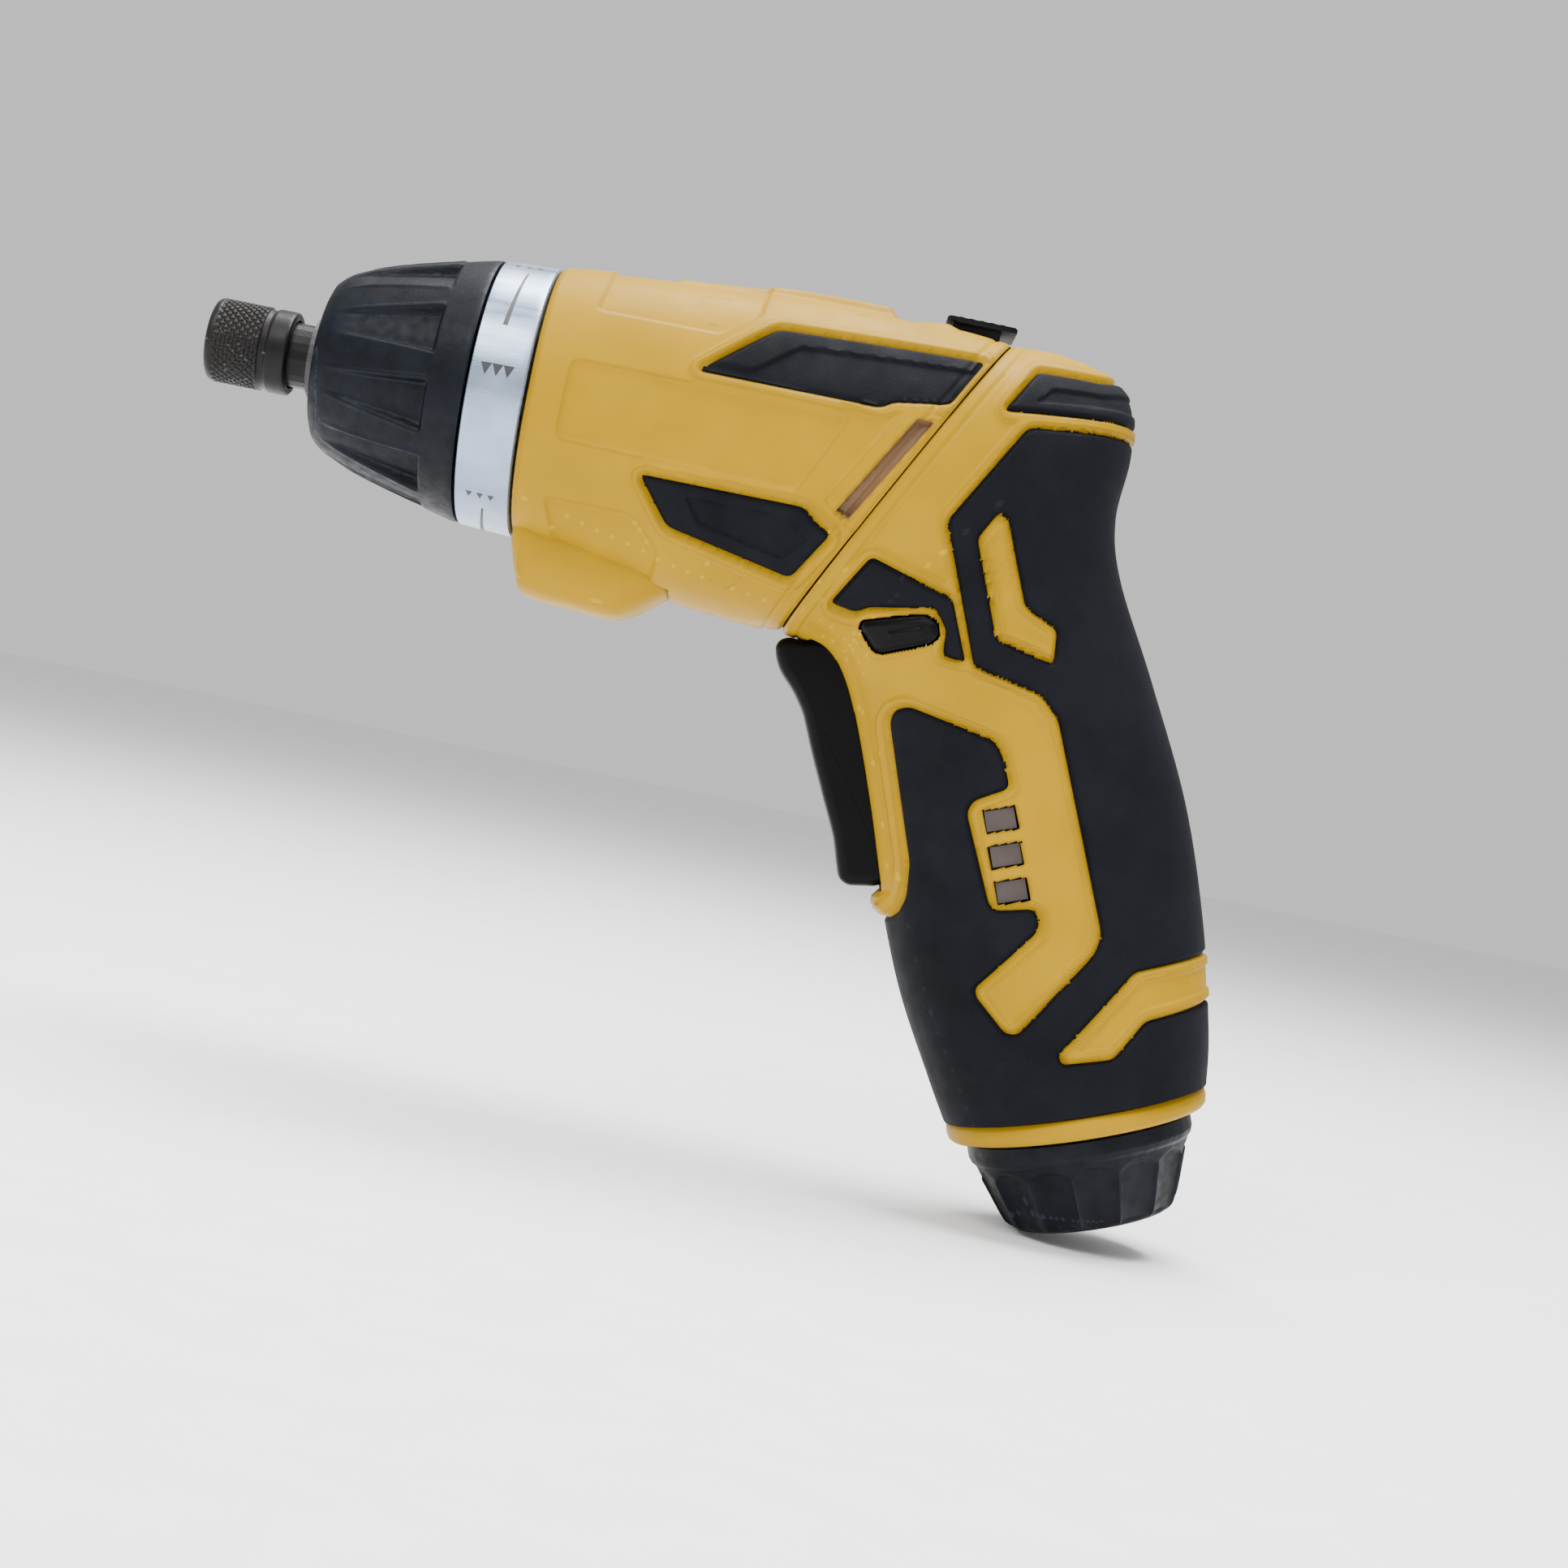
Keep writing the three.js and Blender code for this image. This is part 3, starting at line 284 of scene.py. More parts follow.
def placed(points, place):
    """Points in millimetres as metres in the shared frame; place is None where they are in it already."""
    points = points.reshape(-1, 3) * MM
    if place is None:
        return points
    return points @ np.array(place.to_3x3()).T + np.array(place.translation)


def ring_grid(rows):
    """Quads between successive rings of equal length; each ring is closed on itself."""
    rows_count, columns = rows.shape[:2]
    index = np.arange(rows_count * columns).reshape(rows_count, columns)
    index = np.hstack([index, index[:, :1]])
    a, b = index[:-1, :-1], index[:-1, 1:]
    c, d = index[1:, 1:], index[1:, :-1]
    return np.stack([a, b, c, d], axis=-1).reshape(-1, 4)


def ring_piece(name, rings, body, slot, replaces=(), place=None, sharp=35):
    """A piece whose surface is a row of closed rings."""
    add_piece(name, placed(rings, place), ring_grid(rings), body, slot, replaces, sharp=sharp)


def flange_piece(name, outer_ring, inner_ring, body, slot, steps=3, place=None):
    """A flat ring of quads between two rings with the same number of points."""
    rows = np.array([outer_ring + (inner_ring - outer_ring) * k / steps for k in range(steps + 1)])
    ring_piece(name, rows, body, slot, place=place)


# ------------------------------------------------------------------ outlines and distances
def edge_distance(outline, x, z):
    """Distance from points to a closed outline, positive inside it."""
    points = np.asarray(outline, float)
    following = np.roll(points, -1, axis=0)
    best = np.full(x.shape, 1e9)
    inside = np.zeros(x.shape, bool)
    for (ax, az), (bx, bz) in zip(points, following):
        ex, ez = bx - ax, bz - az
        along = np.clip(((x - ax) * ex + (z - az) * ez) / (ex * ex + ez * ez), 0, 1)
        best = np.minimum(best, np.hypot(x - ax - along * ex, z - az - along * ez))
        crosses = (az > z) != (bz > z)
        with np.errstate(divide="ignore", invalid="ignore"):
            at = ax + (z - az) * ex / (ez if ez else 1e-12)
        inside ^= crosses & (x < at)
    return np.where(inside, best, -best)


def rounded(outline, radius):
    """The outline with every corner rounded by an arc of about that radius."""
    points = np.asarray(outline, float)
    n = len(points)
    result = []
    for i in range(n):
        before, here, after = points[i - 1], points[i], points[(i + 1) % n]
        u, v = before - here, after - here
        lu, lv = np.linalg.norm(u), np.linalg.norm(v)
        reach = min(radius, 0.45 * lu, 0.45 * lv)
        start, end = here + u / lu * reach, here + v / lv * reach
        for k in range(5):
            w = k / 4
            result.append((1 - w) ** 2 * start + 2 * w * (1 - w) * here + w * w * end)
    return np.array(result)


def step(low, high, value):
    """Rises smoothly from 0 at low to 1 at high."""
    w = np.clip((value - low) / (high - low), 0, 1)
    return w * w * (3 - 2 * w)


# ------------------------------------------------------------------ swept body surfaces
LIP_ROOM = 0.35        # the raised lips stay inside the CAD's width


def spline(points, position):
    """Catmull-Rom through the rows of points at a position counted in rows."""
    count = len(points) - 1
    i = np.clip(np.floor(position).astype(int), 0, count - 1)
    w = (position - i)[:, None]
    p0, p1 = points[np.maximum(i - 1, 0)], points[i]
    p2, p3 = points[i + 1], points[np.minimum(i + 2, count)]
    v0, v1 = (p2 - p0) / 2, (p3 - p1) / 2
    return (2 * p1 - 2 * p2 + v0 + v1) * w**3 + (-3 * p1 + 3 * p2 - 2 * v0 - v1) * w**2 + v0 * w + p1


def swept_surface(sections, spacing, columns, power=2.3):
    """Rings of points on a body given by [top x, top z, bottom x, bottom z, half width] sections."""
    points = np.asarray(sections, float)
    fine = spline(points, np.linspace(0, len(points) - 1, 2000))
    middle = np.hypot(*np.diff((fine[:, 0:2] + fine[:, 2:4]) / 2, axis=0).T)
    upper = np.hypot(*np.diff(fine[:, 0:2], axis=0).T)
    lower = np.hypot(*np.diff(fine[:, 2:4], axis=0).T)
    longest = np.maximum(upper, lower)
    length = np.concatenate([[0], np.cumsum(0.5 * (middle + longest))])
    rows = int(length[-1] / spacing) + 1
    at = np.interp(np.linspace(0, length[-1], rows), length, np.linspace(0, len(points) - 1, 2000))
    section = spline(points, at)
    angle = np.linspace(0, 2 * np.pi, columns, endpoint=False)
    c = np.sign(np.cos(angle)) * np.abs(np.cos(angle)) ** (2 / power)
    s = np.sign(np.sin(angle)) * np.abs(np.sin(angle)) ** (2 / power)
    top, bottom, width = section[:, None, 0:2], section[:, None, 2:4], section[:, None, 4]
    flat = (top + bottom) / 2 + (top - bottom) / 2 * c[None, :, None]
    y = (width - LIP_ROOM) * s[None, :]
    return np.stack([flat[..., 0], y, flat[..., 1]], axis=-1)


def grid_normals(grid):
    """Unit normals of a grid of rings, pointing out of it."""
    along = np.gradient(grid, axis=0)
    around = np.roll(grid, -1, axis=1) - np.roll(grid, 1, axis=1)
    normal = np.cross(around, along)
    normal /= np.linalg.norm(normal, axis=-1, keepdims=True) + 1e-12
    centre = grid.mean(axis=1, keepdims=True)
    if np.mean(np.sum(normal * (grid - centre), axis=-1)) < 0:
        normal = -normal
    return normal


def snap_to_edges(grid, normal, outlines, reach):
    """Slides points that lie close to an outline onto it, keeping them on the surface."""
    for outline in outlines:
        x, z = grid[..., 0], grid[..., 2]
        d = edge_distance(outline, x, z)
        e = 0.02
        gx = (edge_distance(outline, x + e, z) - d) / e
        gz = (edge_distance(outline, x, z + e) - d) / e
        near = (np.abs(d) < reach) & (np.abs(normal[..., 1]) > 0.25)
        dx = np.where(near, -d * gx, 0)
        dz = np.where(near, -d * gz, 0)
        ny = np.where(np.abs(normal[..., 1]) > 0.25, normal[..., 1], 1)
        dy = np.where(near, -(normal[..., 0] * dx + normal[..., 2] * dz) / ny, 0)
        grid += np.stack([dx, dy, dz], axis=-1)
    return grid


def behind_seam(points, centre, angle, side):
    """Moves points past the swivel plane back to their side of it: -1 for the head, +1 for the handle."""
    middle, axis, _ = seam_frame(angle, centre)
    depth = side * ((points - middle) @ axis)
    return points + side * np.maximum(SEAM_GAP - depth, 0)[..., None] * axis


def circle(x, z, radius):
    """A circular outline round a point."""
    turn = np.linspace(0, 2 * np.pi, 30, endpoint=False)
    return np.stack([x + radius * np.cos(turn), z + radius * np.sin(turn)], axis=-1)


def screw_distance(screws, x, z):
    """Distance to the nearest screw's axis."""
    return np.min([np.hypot(x - sx, z - sz) for sx, sz, _ in screws], axis=0)


def wall_directions(grid, normal, centre, angle, screws, straight=None):
    """Border wall directions: in the swivel plane close to it, along Y where straight, deep at the screws."""
    middle, axis, _ = seam_frame(angle, centre)
    near = np.abs((grid - middle) @ axis) < 3
    flat = normal - (normal @ axis)[..., None] * axis
    flat /= np.linalg.norm(flat, axis=-1, keepdims=True)
    result = np.where(near[..., None], flat, normal)
    if straight is not None:
        across = np.sign(grid[..., 1:2]) * np.array([0.0, 1.0, 0.0])
        result = np.where(straight[..., None], across, result)
    at_screw = (screw_distance(screws, grid[..., 0], grid[..., 2]) < SCREW_HOLE + 0.6) & (grid[..., 1] > 0)
    result = np.where(at_screw[..., None], np.array([0.0, 5.0, 0.0]), result)
    return result.reshape(-1, 3)


def skin_piece(name, points, normals, faces, keep, body, slot, depth=1.2, place=None, replaces=(),
               finish=None):
    """One piece made of the kept faces of a surface, with a wall of that depth round its border."""
    chosen = faces[keep]
    used, inverse = np.unique(chosen, return_inverse=True)
    quads = inverse.reshape(-1, 4)
    vertices = points[used]
    edges = np.concatenate([quads[:, [i, (i + 1) % 4]] for i in range(4)])
    ordered = np.sort(edges, axis=1)
    code = ordered[:, 0] * (len(used) + 1) + ordered[:, 1]
    _, first, counts = np.unique(code, return_index=True, return_counts=True)
    border = edges[first[counts == 1]]
    rim, rim_index = np.unique(border, return_inverse=True)
    rim_index = rim_index.reshape(-1, 2)
    base = len(vertices)
    outer = vertices[rim]
    inner = outer - normals[used][rim] * depth
    vertices = np.vstack([vertices, outer, inner])
    count = len(rim)
    walls = np.stack([base + rim_index[:, 1], base + rim_index[:, 0], base + count + rim_index[:, 0],
                      base + count + rim_index[:, 1]], axis=-1)
    everything = np.vstack([quads, walls])
    add_piece(name, placed(vertices, place), everything, body, slot, replaces, finish, sharp=50)


# ------------------------------------------------------------------ shared measures, millimetres
SEAM_ANGLE = math.radians(62.4)
LEAN = math.radians(20.5)
SWIVEL = (105.9, -2.0)
SEAM_HALF = 31.4
SEAM_WIDTH = 24.0
SEAM_GAP = 0.1
HUB_HOLE = 11.9
SCREW_HOLE = 3.05
PAD_CORNER = 1.2
INLAY_CORNER = 1.0
BUTTON_CORNER = 0.8
LIP_TOP = 0.4
SPACING = 0.33
SNAP_REACH = 0.62 * SPACING
COLUMNS = 460


def handle_place():
    """Where the handle's own frame stands: the swivel point, leaned back."""
    return Matrix.Translation(Vector((SWIVEL[0] * MM, 0, SWIVEL[1] * MM))) @ Matrix.Rotation(-LEAN, 4, "Y")


def seam_section(angle, centre, distance):
    """The body's section a little before or behind the swivel plane."""
    ux, uz = math.cos(angle), math.sin(angle)
    cx, cz = centre[0] + uz * distance, centre[1] - ux * distance
    return [cx + ux * SEAM_HALF, cz + uz * SEAM_HALF, cx - ux * SEAM_HALF, cz - uz * SEAM_HALF, SEAM_WIDTH]


def seam_frame(angle, centre):
    """The swivel plane's centre, its axis, pointing rearward, and its long line."""
    axis = np.array([math.sin(angle), 0, -math.cos(angle)])
    line = np.array([math.cos(angle), 0, math.sin(angle)])
    return np.array([centre[0], 0, centre[1]]), axis, line


def rim_fade(x, z, angle, centre):
    """Rounds the body off towards the swivel plane, with a fine groove beside it."""
    distance = np.abs((x - centre[0]) * math.sin(angle) - (z - centre[1]) * math.cos(angle))
    return -0.35 * (1 - step(0.1, 0.8, distance)) - 0.28 * np.exp(-((distance - 2.6) / 0.35) ** 2)


def parting_line(y):
    """The fine groove where the two halves of a shell meet."""
    return -0.30 * np.exp(-((y / 0.28) ** 2))


def pad_profile(d):
    """Height across the edge of a soft insert: d is the distance inside its outline."""
    groove = -0.55 * np.exp(-((d / 0.30) ** 2))
    yellow_lip = LIP_TOP * step(-2.15, -1.8, d) * (1 - step(-0.75, -0.35, d))
    pad = 0.18 * step(0.25, 0.75, d)
    return groove + yellow_lip + pad


# ------------------------------------------------------------------ head skin
NOSE = 42.6
NOSE_HOLE = 20.3
HEAD_SECTIONS = [
    [NOSE, 23.5, NOSE, -23.5, 23.5],
    [50, 24.5, 49, -25.0, 24.0],
    [62, 25.6, 58, -27.0, 24.3],
    [80, 26.7, 70, -28.9, 24.5],
    [98, 27.0, 80, -29.9, 24.5],
    [112, 26.6, 87.5, -30.3, 24.3],
    seam_section(SEAM_ANGLE, SWIVEL, -SEAM_GAP),
]
HEAD_PADS = {
    "upper": [[69.4, 7.9], [81, 18.1], [116, 20.0], [111.4, 10.9], [102.1, 9.3], [100.2, 7.9]],
    "lower": [[63.4, -10.9], [91.2, -10.9], [93.2, -12.8], [96.3, -14.4], [91.0, -22.6], [69.2, -18.3]],
}
PAD_STEPS = {
    "upper": [[78.2, 9.6], [85.6, 15.4], [114.0, 17.3], [120.0, 30.0], [76.0, 30.0], [70.0, 9.6]],
    "lower": [[71.5, -12.9], [88.5, -12.9], [92.5, -16.0], [89.0, -19.6], [74.5, -16.8]],
}
VENT = [[106.5, 7.3], [109.3, 7.1], [98.6, -11.3], [96.3, -10.3]]
VENT_FRAME = [[103.4, 7.5], [106.2, 8.6], [110.9, 8.2], [112.0, 5.9], [99.9, -13.6], [97.6, -12.6],
              [93.6, -9.4]]
CENTRE_PANEL = [[49, 5.4], [95.5, 5.2], [89.2, -8.4], [48.8, -7.5]]
TOP_PANEL = [[51.5, 19.3], [50.9, 14.8], [71.6, 14.8], [77.7, 19.7], [79, 40], [51.5, 40]]
LOW_PANEL = [[48.4, -17.4], [50.4, -23.2], [50.4, -40], [64, -40], [68.5, -22.7], [63.0, -17.6]]
LAMP_CENTRE = -28.6
LAMP_HOLE = 2.9
LOCK_SLOT = (106.7, 118.4, 5.4)        # from x, to x, half width
BOSS_SLOT = (43.0, 71.0, 9.0)
HEAD_SCREWS = [(70, 19.3, 13.3), (94, 21.0, 12.3), (80, -22.5, 13.2)]       # x, z and the screw's top in y


def head_height(x, y, z):
    """Height of the head's pads, panels, vent and grooves over its swept surface."""
    h = np.zeros(x.shape)
    for name, outline in HEAD_PADS.items():
        d = edge_distance(rounded(outline, PAD_CORNER), x, z)
        h += pad_profile(d)
        inner = edge_distance(rounded(PAD_STEPS[name], 0.6), x, z)
        side = -1 if name == "upper" else 1
        h -= np.where(d > 0.4, 0.50 * step(-0.12, 0.12, side * inner), 0)
    panel = edge_distance(rounded(CENTRE_PANEL, 1.6), x, z)
    h += -0.45 * step(-0.25, 0.35, panel)
    for outline in (TOP_PANEL, LOW_PANEL):
        h += -0.55 * step(-0.3, 0.5, edge_distance(rounded(outline, 1.0), x, z))
    frame_edge = edge_distance(rounded(VENT_FRAME, 0.9), x, z)
    h += 0.32 * step(-0.2, 0.3, frame_edge)
    h += -1.5 * step(-0.05, 0.25, edge_distance(VENT, x, z))
    h += rim_fade(x, z, SEAM_ANGLE, SWIVEL)
    h += -0.4 * (1 - step(NOSE, NOSE + 0.7, x))
    return np.minimum(h, LIP_TOP) + parting_line(y)


def raised_top(x, y, z):
    """The low ridge on top of the head and the dip before the lock button, as height along the normal."""
    along = step(61.3, 63.0, x) * (1 - step(98.0, 100.4, x))
    across = 1 - step(7.6, 9.2, np.abs(y))
    ridge = (0.5 + 0.6 * step(63, 90, x)) * along * across
    dip = np.interp(x, [99.4, 101.0, 103.7, 108.0, 109.2, 110.8], [0, -0.9, -0.3, 0.5, 0.45, 0])
    return np.where(z > 15, ridge + dip * (1 - step(8.5, 10.5, np.abs(y))), 0)


def in_slot(slot, x, y):
    first, last, half = slot
    return (x > first) & (x < last) & (np.abs(y) < half)


def build_head_skin():
    grid = swept_surface(HEAD_SECTIONS, SPACING, COLUMNS)
    normal = grid_normals(grid)
    outlines = [rounded(o, PAD_CORNER) for o in HEAD_PADS.values()] + [np.array(VENT)]
    outlines += [circle(sx, sz, SCREW_HOLE) for sx, sz, _ in HEAD_SCREWS]
    grid = snap_to_edges(grid, normal, outlines, SNAP_REACH)
    x, y, z = grid[..., 0], grid[..., 1], grid[..., 2]
    height = head_height(x, y, z) + raised_top(x, y, z)
    points = behind_seam(grid + normal * height[..., None], SWIVEL, SEAM_ANGLE, -1).reshape(-1, 3)
    normals = wall_directions(grid, normal, SWIVEL, SEAM_ANGLE, HEAD_SCREWS)
    faces = ring_grid(grid)
    centre = grid.reshape(-1, 3)[faces].mean(axis=1)
    cx, cy, cz = centre.T
    upper = edge_distance(rounded(HEAD_PADS["upper"], PAD_CORNER), cx, cz) > 0
    lower = edge_distance(rounded(HEAD_PADS["lower"], PAD_CORNER), cx, cz) > 0
    vent = edge_distance(VENT, cx, cz) > 0
    lock_slot = in_slot(LOCK_SLOT, cx, cy) & (cz > 10)
    boss = in_slot(BOSS_SLOT, cx, cy) & (cz < -10)
    holes = (screw_distance(HEAD_SCREWS, cx, cz) < SCREW_HOLE) & (cy > 0)
    body = ~(upper | lower | vent | lock_slot | boss | holes)
    for side, chosen in (("left", cy < 0), ("right", cy > 0)):
        skin_piece(f"head_skin_{side}", points, normals, faces, body & chosen, "head", "yellow_body",
                   depth=1.6, replaces=[f"head_shell_{side}"])
        skin_piece(f"head_pad_upper_{side}", points, normals, faces, upper & chosen, "head", "black_grip",
                   replaces=[f"head_insert_upper_{side}"])
        skin_piece(f"head_pad_lower_{side}", points, normals, faces, lower & chosen, "head", "black_grip",
                   replaces=[f"head_insert_lower_{side}"])
        # The vent recess gets the dark brown vent finish, a painted shadow on its floor and walls.
        skin_piece(f"head_vent_{side}", points, normals, faces, vent & chosen, "head", "yellow_body",
                   finish="vent")
    rows = points.reshape(grid.shape)
    nose = rows[0].copy()
    inner = nose.copy()
    inner[:, 0] = NOSE
    radial = np.hypot(nose[:, 1], nose[:, 2])
    inner[:, 1:] *= (NOSE_HOLE / radial)[:, None]
    flange_piece("head_front_rim", nose, inner, "head", "yellow_body")
    build_seam_face("head_seam_face", rows[-1], seam_frame(SEAM_ANGLE, SWIVEL), "head")
    build_lamp_boss()


def build_seam_face(name, ring, frame_of_seam, body, place=None):
    """The flat end that slides on its twin when the head swivels, open in the middle for the hub."""
    centre, axis, line = frame_of_seam
    offset = ring - centre
    along = offset @ line
    flat = centre + along[:, None] * line + offset[:, 1:2] * np.array([0, 1, 0])
    flat += axis * np.median(offset @ axis)
    middle = flat.mean(axis=0)
    reach = np.linalg.norm(flat - middle, axis=1, keepdims=True)
    hole = middle + (flat - middle) / reach * HUB_HOLE
    flange_piece(name, flat, hole, body, "yellow_body", steps=4, place=place)


LAMP_BOSS = [
    [43.0, -14, 43.0, -25.6, 9.5],
    [44.4, -14, 44.6, -30.6, 10.6],
    [45.8, -14, 46.4, -33.0, 11],
    [53, -14, 54, -33.8, 11.3],
    [60, -14, 61.5, -34.1, 11.4],
    [64.0, -14, 65.0, -33.0, 11.2],
    [68, -14, 69, -30.0, 10.3],
    [72, -14, 72.6, -27.0, 8.5],
]


def build_lamp_boss():
    grid = swept_surface(LAMP_BOSS, 0.6, 160, power=3.4)
    normal = grid_normals(grid)
    points = grid.reshape(-1, 3)
    faces = ring_grid(grid)
    centre = points[faces].mean(axis=1)
    keep = centre[:, 2] < -18.5
    skin_piece("lamp_boss", points + normal.reshape(-1, 3) * parting_line(points[:, 1])[:, None],
               normal.reshape(-1, 3), faces, keep, "head", "yellow_body", depth=1.5)
    front = grid[0]
    middle = np.array([43.6, 0, LAMP_CENTRE + 0.4])
    reach = np.linalg.norm((front - middle)[:, 1:], axis=1, keepdims=True)
    hole = middle + (front - middle) / reach * LAMP_HOLE
    hole[:, 0] = 44.0
    flange_piece("lamp_boss_front", front, hole, "head", "yellow_body", steps=6)


# ------------------------------------------------------------------ handle skin
HANDLE_SECTIONS = [
    seam_section(SEAM_ANGLE - LEAN, (0, 0), SEAM_GAP),
    [31, 18.2, -21.3, -22.3, 23.6],
    [38, 13.8, -19, -23.6, 23.0],
    [42.2, 7.5, -16.8, -25.4, 22.3],
    [40.4, -1.5, -15, -28.6, 21.6],
    [36.2, -11.5, -13.8, -34, 20.9],
    [35.4, -22, -13.3, -42, 20.3],
    [38.0, -40, -13.3, -55, 20.1],
    [40.5, -62, -13.7, -70, 20.7],
    [40.2, -83, -13.0, -86, 21.5],
    [38.2, -101, -10.6, -101, 22.2],
    [36.4, -109.5, -9, -109.5, 22.5],
]
GRIP = [
    [22, 4.5], [60, -3.5], [60, -120], [-30, -120], [-30, -73.2], [-12.6, -73.0], [-10.4, -69.8], [-8.9, -64],
    [-8.5, -40.0], [-7.4, -38.2], [-5.0, -38.0], [8.2, -45.9], [9.3, -49], [9.5, -54.1], [3.2, -55.2],
    [1.8, -57], [3.0, -72.6], [4.0, -73.8], [10.2, -74.5], [10.9, -76.5], [10.1, -78.4], [-1.4, -86],
    [-1.6, -87.5], [2.2, -94.2], [4.2, -94.7], [19.2, -83.4], [20.8, -80.4], [19.4, -44], [17.1, -39.6],
    [6.8, -33.2], [6.1, -8.9]]
GRIP_INLAY = [[14.8, -8.8], [16.2, -10.0], [16.9, -24.9], [21.7, -29.4], [20.1, -35.0], [11.2, -29.4],
              [10.6, -12.5]]
REAR_INLAY = [[60, -87.2], [25.4, -87.5], [10.3, -99.0], [10.7, -100.6], [19.3, -101.1], [25.9, -95.9],
              [60, -94.6]]
SHOULDER = [[-15.1, -19.0], [-7.2, -12.8], [5.0, -21.6], [5.5, -32.4], [1.9, -30.6], [3.2, -26.5],
            [1.9, -22.6], [-8.9, -20.7], [-11.3, -21.2]]
HEEL = [[25.6, 14.2], [36, 11.3], [60, 11.3], [60, 1.2], [42.5, 2.6], [18.4, 7.9]]
HEEL_STEP = [[27.5, 10.4], [36, 8.4], [60, 7.9], [60, 3.9], [42.5, 4.9], [24.0, 8.6]]
SELECTOR = [[-9.9, -22.6], [0.2, -23.6], [2.0, -25.3], [1.8, -27.3], [0.3, -28.2], [-7.6, -28.3],
            [-8.6, -27.7], [-10.4, -23.6]]
WINDOW_ROWS = (-59.0, -65.0, -71.0)
WINDOW = (7.2, 2.8, 2.0)        # centre, half length, half height
TRIGGER_SLOT = (5.5, -23.2, -68.4)        # half width, top, bottom
HANDLE_SCREWS = [(19.2, 5.2, 15.3), (27, -38, 15.3), (-6.8, -88, 11.3), (33.2, -88, 11.3)]   # as for the head
SELECTOR_BAR = [[-6.0, -25.1], [-0.6, -25.4], [-0.6, -26.3], [-5.7, -26.1]]


def black_distance(t, z):
    """Distance inside the black grip, whose yellow inlays are cut out of it."""
    grip = edge_distance(rounded(GRIP, PAD_CORNER), t, z)
    grip = np.minimum(grip, -edge_distance(rounded(GRIP_INLAY, INLAY_CORNER), t, z))
    return np.minimum(grip, -edge_distance(rounded(REAR_INLAY, INLAY_CORNER), t, z))


def handle_height(t, y, z):
    """Height of the handle's pads, selector rim, spur and grooves over its swept surface."""
    grip = black_distance(t, z)
    h = pad_profile(grip)
    for outline in (SHOULDER, HEEL):
        h += pad_profile(edge_distance(rounded(outline, INLAY_CORNER), t, z))
    h += 0.3 * step(-2.0, -1.2, edge_distance(rounded(SELECTOR, BUTTON_CORNER), t, z))
    heel = edge_distance(rounded(HEEL, INLAY_CORNER), t, z)
    h -= np.where(heel > 0.4, 0.45 * step(-0.12, 0.12, edge_distance(HEEL_STEP, t, z)), 0)
    h += rim_fade(t, z, SEAM_ANGLE - LEAN, (0, 0))
    return np.minimum(h, LIP_TOP) + guard_lip(t, y, z) + parting_line(y)


def guard_lip(t, y, z):
    """The short spur under the trigger."""
    drop = np.interp(z, [-73.4, -71.6, -70.3, -69.0, -68.3], [0, 1.1, 2.1, 1.7, 0.6])
    return np.where(t < -5, drop * (1 - step(6.0, 9.0, np.abs(y))), 0)


def selector_height(t, z):
    """A chamfered push button with a raised bar on its face."""
    d = edge_distance(rounded(SELECTOR, BUTTON_CORNER), t, z)
    bar = edge_distance(SELECTOR_BAR, t, z)
    return 0.2 + 0.75 * step(0.0, 0.9, d) + 0.3 * step(-0.05, 0.2, bar)


